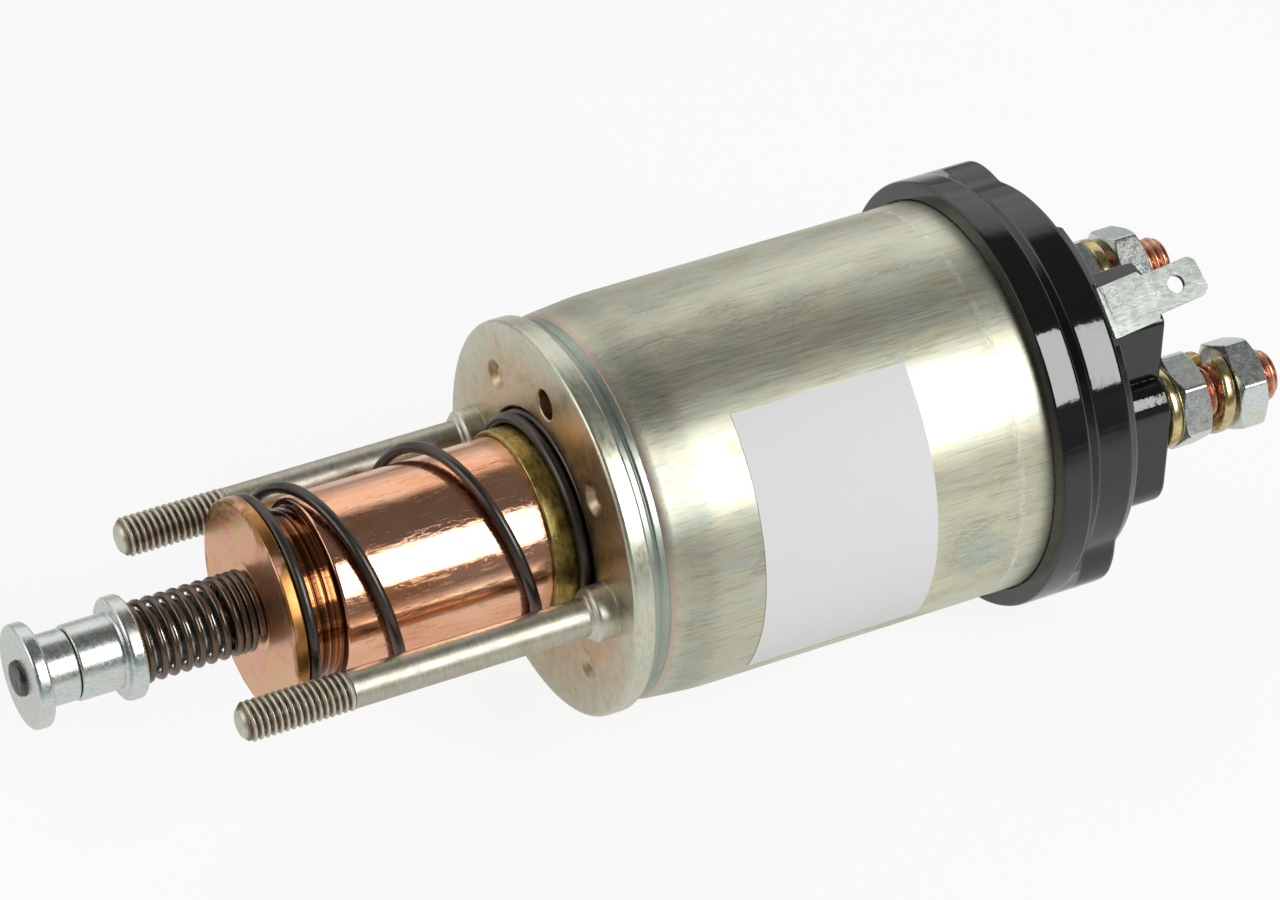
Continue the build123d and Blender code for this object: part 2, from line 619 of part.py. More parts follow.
def make_blade_terminal():
    """Sheet bent from the contact chamber through the wall and outwards over the rear face, then
    back into a flat blade that leans a little."""
    half = BLADE_THICKNESS / 2
    foot = CAP_REAR + BLADE_BEND
    neck = foot + BLADE_BEND
    path = FilletPolyline((CAP_REAR - BLADE_TAIL, BLADE_FOOT_INNER), (foot, BLADE_FOOT_INNER),
                          (foot, BLADE_OFFSET), (neck + half, BLADE_OFFSET), radius=BLADE_BEND)
    side = Plane(origin=(0, 0, 0), x_dir=(1, 0, 0), z_dir=(0, *polar(1, BLADE_ANGLE + 90)))
    bent = extrude(side * trace(path, BLADE_THICKNESS), BLADE_WIDE / 2, both=True)

    lean = math.radians(BLADE_LEAN)
    up = polar(math.sin(lean), BLADE_ANGLE - 90)
    outwards = polar(1, BLADE_ANGLE)
    flat = Plane(origin=(neck, *polar(BLADE_OFFSET, BLADE_ANGLE)), x_dir=(math.cos(lean), *up),
                 z_dir=(0, *outwards))
    wide = BLADE_WIDE / 2
    narrow = BLADE_NARROW / 2
    step = BLADE_WIDE_LENGTH + BLADE_STEP
    tip = BLADE_LENGTH
    corner = BLADE_TIP_CHAMFER
    lower = [(0, -wide), (BLADE_WIDE_LENGTH, -wide), (step, -narrow), (tip - corner, -narrow),
             (tip, corner - narrow)]
    upper = [(x, -y) for x, y in reversed(lower)]
    outline = make_face(Polyline(*lower, *upper, close=True))
    outline -= Pos(tip - BLADE_HOLE_FROM_TIP, 0) * Circle(BLADE_HOLE_RADIUS)
    blade = extrude(flat * outline, half, both=True)
    edge = BLADE_TIP_EDGE
    bevel = make_face(Polyline((0, -half), (tip - BLADE_TIP_BEVEL, -half), (tip, -edge), (tip, edge),
                               (tip - BLADE_TIP_BEVEL, half), (0, half), close=True))
    edge_view = flat * Plane(origin=(0, 0, 0), x_dir=(1, 0, 0), z_dir=(0, -1, 0))
    blade = blade & extrude(edge_view * bevel, BLADE_WIDE, both=True)
    return bent + blade


def make_blade_lead():
    """Wire from the windings to the inner end of the blade."""
    return bar(WINDING_REAR, CHAMBER_REAR - STACK, LEAD_RADIUS, polar(LEAD_OFFSET, BLADE_ANGLE))


def make_label():
    section = Pos(LABEL_START + LABEL_WIDTH / 2, CAN_RADIUS + LABEL_THICKNESS / 2) * Rectangle(
        LABEL_WIDTH, LABEL_THICKNESS)
    return Rot(X=LABEL_ANGLE) * revolve(section, Axis.X, LABEL_SWEEP)


# Plunger and pull rod

def make_return_spring():
    """Closed turn on the spring plate, two open turns and a closed turn in the flange's seat."""
    length = SEAT_DEPTH - PLUNGER_FRONT - RETURN_WIRE
    rises = [length * share / sum(RETURN_SHARES) for share in RETURN_SHARES]
    return coil_spring(PLUNGER_FRONT + RETURN_WIRE / 2, rises, RETURN_RADIUS, RETURN_WIRE,
                       RETURN_STEPS, RETURN_FLARE)


def make_plunger():
    nose = SPRING_PLATE_FRONT
    neck_end = PLUNGER_FRONT + NECK_LENGTH
    bore = ROD_RADIUS + PRESS
    bottom = nose + ROD_DEPTH
    edge = PLUNGER_CHAMFER
    grooves = []
    spacing = NECK_LENGTH / (NECK_GROOVES + 1)
    for number in range(NECK_GROOVES):
        x = PLUNGER_FRONT + (number + 1) * spacing
        grooves += [(x - NECK_GROOVE_WIDTH / 2, NECK_RADIUS), (x, NECK_RADIUS - NECK_GROOVE_DEPTH),
                    (x + NECK_GROOVE_WIDTH / 2, NECK_RADIUS)]
    return turned(
        (nose, bore), (nose, STAKE_RADIUS), (PLUNGER_FRONT, STAKE_RADIUS),
        (PLUNGER_FRONT, NECK_RADIUS), *grooves, (neck_end, NECK_RADIUS),
        (neck_end, PLUNGER_RADIUS - edge), (neck_end + edge, PLUNGER_RADIUS),
        (PLUNGER_REAR - edge, PLUNGER_RADIUS), (PLUNGER_REAR, PLUNGER_RADIUS - edge),
        (PLUNGER_REAR, 0), (bottom, 0), (bottom, bore),
    )


def make_spring_plate():
    front = SPRING_PLATE_FRONT
    rear = PLUNGER_FRONT
    rim = PLATE_RIM_RADIUS
    edge = PLATE_RIM_CHAMFER
    bore = STAKE_RADIUS + PRESS
    return turned((front, bore), (front, rim - edge), (front + edge, rim), (rear - edge, rim),
                  (rear, rim - edge), (rear, bore))


def make_pull_rod():
    front = HEAD_FRONT - ROD_PROUD
    rear = SPRING_PLATE_FRONT + ROD_DEPTH
    return turned((front, 0), (front, ROD_RADIUS - ROD_CHAMFER), (front + ROD_CHAMFER, ROD_RADIUS),
                  (rear, ROD_RADIUS), (rear, 0))


def make_rod_head():
    bore = ROD_RADIUS + PRESS
    end = HEAD_REAR + HEAD_NECK_LENGTH
    edge = HEAD_EDGE
    return turned(
        (HEAD_FRONT, bore), (HEAD_FRONT, HEAD_RADIUS - edge), (HEAD_FRONT + edge, HEAD_RADIUS),
        (HEAD_REAR - edge, HEAD_RADIUS), (HEAD_REAR, HEAD_RADIUS - edge),
        (HEAD_REAR, HEAD_NECK_RADIUS), (end, HEAD_NECK_RADIUS), (end, bore),
    )


def make_sliding_collar():
    bore = ROD_RADIUS + RUN
    nose = COLLAR_NOSE_RADIUS
    nose_end = COLLAR_REAR + COLLAR_NOSE_LENGTH
    edge = COLLAR_EDGE
    return turned(
        (COLLAR_FRONT, bore), (COLLAR_FRONT, COLLAR_TUBE_RADIUS), (COLLAR_FLANGE, COLLAR_TUBE_RADIUS),
        (COLLAR_FLANGE, COLLAR_RADIUS - edge), (COLLAR_FLANGE + edge, COLLAR_RADIUS),
        (COLLAR_REAR - edge, COLLAR_RADIUS), (COLLAR_REAR, COLLAR_RADIUS - edge),
        (COLLAR_REAR, nose), (nose_end, nose), (nose_end, bore),
    )


def make_collar_spring():
    """Closed turns at both ends, more of them against the spring plate."""
    front = COLLAR_REAR + COLLAR_WIRE / 2
    rear = SPRING_PLATE_FRONT - COLLAR_WIRE / 2
    end_length = COLLAR_END_TURNS * COLLAR_WIRE
    plate_length = COLLAR_PLATE_TURNS * COLLAR_WIRE
    free_length = rear - front - end_length - plate_length
    rises = (even_rises(end_length, COLLAR_END_TURNS) + even_rises(free_length, COLLAR_FREE_TURNS)
             + even_rises(plate_length, COLLAR_PLATE_TURNS))
    return coil_spring(front, rises, COLLAR_SPRING_RADIUS, COLLAR_WIRE, SMALL_SPRING_STEPS)


# Contact set

def make_contact_rod():
    edge = CONTACT_TIP_RADIUS / 4
    tip = CLIP_REAR + CONTACT_TIP_REACH
    front = CONTACT_ROD_FRONT
    return turned(
        (front, 0), (front, CONTACT_ROD_RADIUS - edge), (front + edge, CONTACT_ROD_RADIUS),
        (STOP_FRONT, CONTACT_ROD_RADIUS), (STOP_FRONT, CONTACT_STOP_RADIUS),
        (STOP_REAR, CONTACT_STOP_RADIUS), (STOP_REAR, CONTACT_TIP_RADIUS),
        (tip - edge, CONTACT_TIP_RADIUS), (tip, CONTACT_TIP_RADIUS - edge), (tip, 0),
    )


def make_bridge_bush():
    bore = CONTACT_TIP_RADIUS + RUN
    return turned((BUSH_FRONT, bore), (BUSH_FRONT, BUSH_FLANGE_RADIUS),
                  (BRIDGE_FRONT, BUSH_FLANGE_RADIUS), (BRIDGE_FRONT, BUSH_RADIUS),
                  (BRIDGE_REAR, BUSH_RADIUS), (BRIDGE_REAR, bore))


def make_contact_bridge():
    outline = RectangleRounded(2 * BRIDGE_HALF_LENGTH, 2 * BRIDGE_HALF_WIDTH, BRIDGE_HALF_WIDTH / 2)
    outline -= Circle(BUSH_RADIUS + PRESS)
    return extrude(plane_at(BRIDGE_FRONT) * outline, BRIDGE_THICKNESS)


def make_cap_gasket():
    return ring(CAN_REAR, CAP_SHOULDER, CAN_RADIUS, CAP_SPIGOT_RADIUS + LOOSE)


def make_winding(inner, outer):
    """Layers of wire as one smooth tube between the bobbin's cheeks."""
    return ring(WINDING_FRONT, WINDING_REAR, outer, inner)


PARTS = {
    "mounting_flange": make_mounting_flange(),
    "mounting_studs": make_mounting_studs(),
    "housing_can": make_housing_can(),
    "brass_sleeve": make_brass_sleeve(),
    "coil_bobbin": make_coil_bobbin(),
    "pull_in_winding": make_winding(PULL_IN_INNER, PULL_IN_OUTER),
    "hold_in_winding": make_winding(HOLD_IN_INNER, HOLD_IN_OUTER),
    "winding_wrap": make_winding(WRAP_INNER, WRAP_OUTER),
    "fixed_core": make_fixed_core(),
    "yoke_plate": make_yoke_plate(),
    "cap_gasket": make_cap_gasket(),
    "terminal_cap": make_terminal_cap(),
    "cap_screws": make_cap_screws(),
    "battery_terminal_stud": make_terminal_stud(TERMINAL_PLACES[1], CABLE_GAPS[1]),
    "motor_terminal_stud": make_terminal_stud(TERMINAL_PLACES[0], CABLE_GAPS[0]),
    "stud_seals": [ring(CHAMBER_REAR, CHAMBER_REAR + SEAL_THICKNESS, SEAL_RADIUS, TERMINAL_RADIUS + PRESS,
                        (y, 0)) for y in TERMINAL_PLACES],
    "terminal_lock_washers": [make_spring_washer(y) for y in TERMINAL_PLACES],
    "terminal_lock_nuts": [hex_nut(LOCK_NUT_FRONT, (y, 0), turn)
                           for y, turn in zip(TERMINAL_PLACES, LOCK_NUT_TURNS)],
    "cable_split_washers": [make_split_washer(y, gap) for y, gap in zip(TERMINAL_PLACES, CABLE_GAPS)],
    "cable_nuts": [hex_nut(LOCK_NUT_REAR + gap, (y, 0), turn)
                   for y, gap, turn in zip(TERMINAL_PLACES, CABLE_GAPS, CABLE_NUT_TURNS)],
    "blade_terminal": make_blade_terminal(),
    "blade_lead": make_blade_lead(),
    "label": make_label(),
    "return_spring": make_return_spring(),
    "plunger": make_plunger(),
    "spring_plate": make_spring_plate(),
    "pull_rod": make_pull_rod(),
    "rod_head": make_rod_head(),
    "collar_spring": make_collar_spring(),
    "sliding_collar": make_sliding_collar(),
    "contact_rod": make_contact_rod(),
    "contact_spring": plain_spring(STOP_REAR, BUSH_FRONT, CONTACT_SPRING_TURNS, CONTACT_SPRING_RADIUS,
                                   CONTACT_WIRE),
    "rod_clip": ring(CLIP_FRONT, CLIP_REAR, CLIP_RADIUS, CONTACT_TIP_RADIUS + PRESS),
    "contact_return_spring": plain_spring(CLIP_REAR, POCKET_END, HOMING_TURNS, HOMING_RADIUS,
                                          HOMING_WIRE),
    "bridge_bush": make_bridge_bush(),
    "contact_bridge": make_contact_bridge(),
    "bridge_washer": ring(BRIDGE_REAR, CLIP_FRONT, BUSH_FLANGE_RADIUS, CONTACT_TIP_RADIUS + RUN),
}

TURNED_WITH_CAP = (
    "coil_bobbin", "yoke_plate", "terminal_cap", "cap_screws", "battery_terminal_stud",
    "motor_terminal_stud", "stud_seals", "terminal_lock_washers", "terminal_lock_nuts",
    "cable_split_washers", "cable_nuts", "blade_terminal", "blade_lead", "contact_bridge",
)

os.makedirs("parts", exist_ok=True)
for node, solids in PARTS.items():
    if not isinstance(solids, list):
        solids = [solids]
    if node in TURNED_WITH_CAP:
        solids = [Rot(X=CAP_TURN) * solid for solid in solids]
    shape = solids[0] if len(solids) == 1 else Compound(children=solids)
    export_step(shape, f"parts/{node}.step")
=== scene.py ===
"""Looks of a starter solenoid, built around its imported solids.

Shapes are modelled in millimetres along the plunger axis X and scaled to metres when they are shown.
Angles are in degrees about that axis, counted from +Y (the far side) towards +Z (up).
"""

import logging
import math
from collections import Counter
from collections.abc import Callable, Sequence
from dataclasses import dataclass
from enum import Enum
from typing import Any

import bmesh
import bpy
from bmesh.types import BMEdge, BMesh, BMFace, BMVert
from mathutils import Matrix, Vector


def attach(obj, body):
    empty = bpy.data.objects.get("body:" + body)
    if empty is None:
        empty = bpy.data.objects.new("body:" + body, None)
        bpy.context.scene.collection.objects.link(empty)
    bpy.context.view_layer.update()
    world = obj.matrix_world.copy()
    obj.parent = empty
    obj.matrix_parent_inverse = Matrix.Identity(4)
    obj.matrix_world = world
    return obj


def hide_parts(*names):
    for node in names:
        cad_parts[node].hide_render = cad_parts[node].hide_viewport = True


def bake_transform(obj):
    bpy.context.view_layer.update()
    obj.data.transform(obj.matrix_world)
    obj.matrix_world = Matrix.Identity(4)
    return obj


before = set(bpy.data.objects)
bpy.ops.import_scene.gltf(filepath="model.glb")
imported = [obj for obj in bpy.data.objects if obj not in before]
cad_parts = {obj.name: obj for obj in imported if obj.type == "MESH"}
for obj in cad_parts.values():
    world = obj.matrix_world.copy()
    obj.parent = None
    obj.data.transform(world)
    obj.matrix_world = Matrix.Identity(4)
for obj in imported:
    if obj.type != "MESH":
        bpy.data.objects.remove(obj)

LOG = logging.getLogger("solenoid")
METRES = 0.001
MILLIMETRES = 1000
NEAR_ZERO = 1e-4
FULL_TURN = 360
HOLE_STEPS = 64
THREAD_SLOPE = 1.35
THREAD_FLAT = 0.1
THREAD_STEPS = 10
COIL_STEPS = 32
COIL_SHARP = 80
CAP_TURN = -2.7
CAP_REAR = 82.5
CREASE = 63.4
STUD_SPREAD = 42.2
TERMINAL_SPREAD = 31.0
BLACK = (0.0, 0.0, 0.0)
WHITE = (1.0, 1.0, 1.0)
EVEN = (1.0, 1.0, 1.0)

Colour = tuple[float, float, float]
Point = tuple[float, float, float]
Socket = bpy.types.NodeSocket
Place = tuple[float, float]
Row = Callable[[float], Place]


class Body(str, Enum):
    """The parts of the solenoid that move apart."""

    HOUSING = "housing"
    PLUNGER = "plunger"
    COLLAR = "collar"
    CONTACT_ROD = "contact_rod"
    CONTACT_BRIDGE = "contact_bridge"


class Side(Enum):
    """The two sides that a stud can stand on, as a factor on Y."""

    FAR = 1
    NEAR = -1


@dataclass(frozen=True)
class Corner:
    """A corner of an outline.

    Args:
        x: Place along the first direction of the outline, the axis on a turned shape.
        y: Place along the second direction, the radius on a turned shape.
        round: How far the rounding reaches along both sides.
        steps: Straight steps in the rounding.
    """

    x: float
    y: float
    round: float = 0.0
    steps: int = 4


def polar(radius: float, angle: float) -> Place:
    """Returns (y, z) at a radius and an angle about the axis."""
    turn = math.radians(angle)
    return radius * math.cos(turn), radius * math.sin(turn)


def ease(value: float, start: float, end: float) -> float:
    """Returns a smooth step from 0 at start to 1 at end."""
    share = min(max((value - start) / (end - start), 0.0), 1.0)
    return share * share * (3 - 2 * share)


def plain(x: float, radius: float) -> Row:
    """Returns a ring of even radius."""
    return lambda angle: (x, radius)


def thread_cut(x: float, angle: float, pitch: float, depth: float) -> float:
    """Returns how deep a rolled thread is cut, x along it and at an angle."""
    turn = (x / pitch - angle / FULL_TURN) % 1.0
    crest = min(1.0, max(0.0, THREAD_SLOPE * abs(2 * turn - 1) - THREAD_FLAT))
    return depth * (1 - crest)


class Workshop:
    """Makes the shapes that the pieces are built from, in millimetres."""

    @staticmethod
    def outline(mesh: BMesh, corners: Sequence[Corner], closed: bool) -> None:
        """Adds a wire in the XY plane with its corners rounded.

        Args:
            mesh: The mesh to add to.
            corners: The corners in order.
            closed: Whether the last corner joins the first.
        """
        points = [mesh.verts.new((corner.x, corner.y, 0)) for corner in corners]
        for first, second in zip(points, points[1:]):
            mesh.edges.new((first, second))
        if closed:
            mesh.edges.new((points[-1], points[0]))
        for point, corner in zip(points, corners):
            if corner.round:
                bmesh.ops.bevel(mesh, geom=[point], offset=corner.round, offset_type="OFFSET",
                                segments=corner.steps, profile=0.5, affect="VERTICES", material=-1)

    @staticmethod
    def circle(mesh: BMesh, radius: float, segments: int, place: Matrix) -> list[BMEdge]:
        """Adds a circle, drawn in the XY plane and then placed, and returns its edges."""
        points = bmesh.ops.create_circle(mesh, segments=segments, radius=radius, matrix=place)["verts"]
        return list(dict.fromkeys(edge for point in points for edge in point.link_edges))

    @staticmethod
    def grown(mesh: BMesh, edges: Sequence[BMEdge]) -> tuple[list[BMVert], list[BMEdge]]:
        """Draws a new loop out of a loop of edges, and returns its points and edges."""
        made = bmesh.ops.extrude_edge_only(mesh, edges=edges)["geom"]
        points = [item for item in made if isinstance(item, BMVert)]
        chosen = set(points)
        near = dict.fromkeys(edge for point in points for edge in point.link_edges)
        return points, [edge for edge in near if chosen.issuperset(edge.verts)]

    @staticmethod
    def outwards(mesh: BMesh, merge: bool = False) -> BMesh:
        """Turns all faces outwards, where asked after merging points that meet."""
        if merge:
            bmesh.ops.remove_doubles(mesh, verts=mesh.verts[:], dist=NEAR_ZERO)
        bmesh.ops.recalc_face_normals(mesh, faces=mesh.faces[:])
        return mesh

    @classmethod
    def turned(cls, corners: Sequence[Corner], closed: bool = False, segments: int = 128) -> BMesh:
        """Turns an outline about the X axis.

        Args:
            corners: Outline of (x, radius) corners.
            closed: Whether the outline closes on itself, as on a ring.
            segments: Steps in the full turn.

        Returns:
            The turned shape.
        """
        mesh = bmesh.new()
        cls.outline(mesh, corners, closed)
        bmesh.ops.spin(mesh, geom=mesh.verts[:] + mesh.edges[:], cent=(0, 0, 0), axis=(1, 0, 0),
                       dvec=(0, 0, 0), angle=math.tau, steps=segments, use_merge=True)
        return cls.outwards(mesh, merge=True)

    @classmethod
    def swept(cls, corners: Sequence[Corner], angles: Place, steps: int, rise: float = 0.0) -> BMesh:
        """Sweeps a closed outline about the X axis, over a part of a turn.

        Args:
            corners: Outline of (x, radius) corners.
            angles: Where the sweep starts and ends.
            steps: Steps in the sweep.
            rise: How far each step moves along the axis.

        Returns:
            The swept shape.
        """
        mesh = bmesh.new()
        cls.outline(mesh, corners, True)
        face = bmesh.ops.contextual_create(mesh, geom=mesh.edges[:])["faces"]
        start, end = (math.radians(angle) for angle in angles)
        bmesh.ops.rotate(mesh, cent=(0, 0, 0), matrix=Matrix.Rotation(start, 3, "X"),
                         verts=mesh.verts[:])
        bmesh.ops.spin(mesh, geom=face, cent=(0, 0, 0), axis=(1, 0, 0), dvec=(rise, 0, 0),
                       angle=end - start, steps=steps, use_merge=False)
        return cls.outwards(mesh, merge=True)

    @classmethod
    def ringed(cls, rows: Sequence[Row], segments: int, closed: bool = False) -> BMesh:
        """Joins rings whose radius may change round the axis.

        Args:
            rows: For each ring, a function from the angle to (x, radius).
            segments: Points in each ring.
            closed: Whether the last ring joins the first; otherwise both ends close to a point.

        Returns:
            The shape.
        """
        mesh = bmesh.new()
        cls.circle(mesh, 1.0, segments, Matrix.Rotation(math.radians(90), 4, "Y"))

        def settle(ring: Sequence[BMVert], row: Row) -> None:
            """Moves a ring's points to their row."""
            for point in ring:
                angle = math.degrees(math.atan2(point.co.z, point.co.y))
                x, radius = row(angle)
                point.co = (x, *polar(radius, angle))

        first, first_edges = ring, edges = mesh.verts[:], mesh.edges[:]
        settle(ring, rows[0])
        for row in rows[1:]:
            ring, edges = cls.grown(mesh, edges)
            settle(ring, row)
        if closed:
            bmesh.ops.bridge_loops(mesh, edges=first_edges + edges)
        else:
            for loop, row in ((first, rows[0]), (ring, rows[-1])):
                bmesh.ops.pointmerge(mesh, verts=loop, merge_co=Vector((row(0.0)[0], 0, 0)))
        return cls.outwards(mesh)

    @classmethod
    def wound(cls, wire: float, steps: int, sides: int, place: Callable[[int], Point]) -> BMesh:
        """Winds a round wire about the X axis.

        Args:
            wire: Diameter of the wire.
            steps: Steps along the whole wire.
            sides: Points round the wire.
            place: Gives (x, radius, angle) of the wire's middle at each step.

        Returns:
            The spring.
        """
        mesh = bmesh.new()
        cls.circle(mesh, wire / 2, sides, Matrix())
        ring, edges, here = mesh.verts[:], mesh.edges[:], Matrix()
        for step in range(steps + 1):
            if step:
                ring, edges = cls.grown(mesh, edges)
            x, radius, angle = place(step)
            there = (Matrix.Rotation(math.radians(angle), 4, "X")
                     @ Matrix.Translation((x, radius, 0)))
            bmesh.ops.transform(mesh, matrix=there @ here.inverted(), verts=ring)
            here = there
            if step in (0, steps):
                bmesh.ops.contextual_create(mesh, geom=edges)
        return cls.outwards(mesh)

    @classmethod
    def slab(cls, corners: Sequence[Corner], thickness: float, edge: float = 0.0,
             holes: Sequence[Point] = ()) -> BMesh:
        """Makes a flat slab that stands on the XY plane.

        Args:
            corners: Outline of the slab.
            thickness: Height along Z.
            edge: Width of the rounding on all its sharp edges.
            holes: Round holes, each as (x, y, radius).

        Returns:
            The slab.
        """
        mesh = bmesh.new()
        cls.outline(mesh, corners, True)
        for x, y, radius in holes:
            cls.circle(mesh, radius, HOLE_STEPS, Matrix.Translation((x, y, 0)))
        if holes:
            bmesh.ops.triangle_fill(mesh, use_beauty=True, use_dissolve=False, edges=mesh.edges[:])
        else:
            bmesh.ops.contextual_create(mesh, geom=mesh.edges[:])
        made = bmesh.ops.extrude_face_region(mesh, geom=mesh.faces[:], use_keep_orig=True)["geom"]
        raised = [item for item in made if isinstance(item, BMVert)]
        bmesh.ops.translate(mesh, vec=(0, 0, thickness), verts=raised)
        cls.outwards(mesh)
        if edge:
            cls.soften(mesh, edge)
        return mesh

    @staticmethod
    def opened(mesh: BMesh, faces: Sequence[BMFace], rims: Sequence[Sequence[BMEdge]]) -> None:
        """Takes faces away and fills their place again, apart from some holes.

        Args:
            mesh: The mesh.
            faces: The faces, which together have one outline or two.
            rims: The edges of each hole.
        """
        count = Counter(edge for face in faces for edge in face.edges)
        borders = [edge for edge, uses in count.items() if uses == 1]
        bmesh.ops.delete(mesh, geom=faces, context="FACES_ONLY")
        bmesh.ops.triangle_fill(mesh, use_beauty=True, use_dissolve=False,
                                edges=borders + [edge for rim in rims for edge in rim])

    @classmethod
    def sunk(cls, mesh: BMesh, rim: Sequence[BMEdge], depth: Point, narrowing: float = 1.0) -> None:
        """Sinks a blind hole into a mesh.

        Args:
            mesh: The mesh.
            rim: The edges of the hole's mouth.
            depth: How far the floor lies from the mouth, along each axis.
            narrowing: Size of the floor, as a share of the mouth.
        """
        points, floor = cls.grown(mesh, rim)
        middle = sum((point.co for point in points), Vector()) / len(points)
        bmesh.ops.scale(mesh, vec=(narrowing,) * 3, space=Matrix.Translation(-middle), verts=points)
        bmesh.ops.translate(mesh, vec=depth, verts=points)
        bmesh.ops.contextual_create(mesh, geom=floor)

    @staticmethod
    def soften(mesh: BMesh, width: float, sharper_than: float = 40.0, segments: int = 3) -> None:
        """Rounds the edges of a mesh that are sharper than an angle."""
        limit = math.radians(sharper_than)
        edges = [edge for edge in mesh.edges if edge.is_manifold and edge.calc_face_angle(0.0) > limit]
        bmesh.ops.bevel(mesh, geom=edges, offset=width, offset_type="OFFSET", segments=segments,
                        profile=0.5, affect="EDGES", clamp_overlap=True, material=-1)

    @staticmethod
    def moved(mesh: BMesh, matrix: Matrix) -> BMesh:
        """Moves a whole mesh by a matrix and returns it."""
        bmesh.ops.transform(mesh, matrix=matrix, verts=mesh.verts[:])
        return mesh

    @staticmethod
    def joined(*meshes: BMesh) -> BMesh:
        """Puts several shapes into the first of them, which it returns."""
        whole = meshes[0]
        for part in meshes[1:]:
            carrier = bpy.data.meshes.new("carrier")
            part.to_mesh(carrier)
            part.free()
            whole.from_mesh(carrier)
            bpy.data.meshes.remove(carrier)
        return whole


@dataclass(frozen=True)
class Pattern:
    """A cloudy pattern.

    Args:
        rate: Features per millimetre along each axis.
        shift: How far the pattern is moved, which sets it apart from others.
        detail: How many finer layers it has.
        roughness: How strong the finer layers are.
        stir: How much it is stirred.
    """

    rate: Point = EVEN
    shift: float = 0.0
    detail: float = 4.0
    roughness: float = 0.55
    stir: float = 0.0


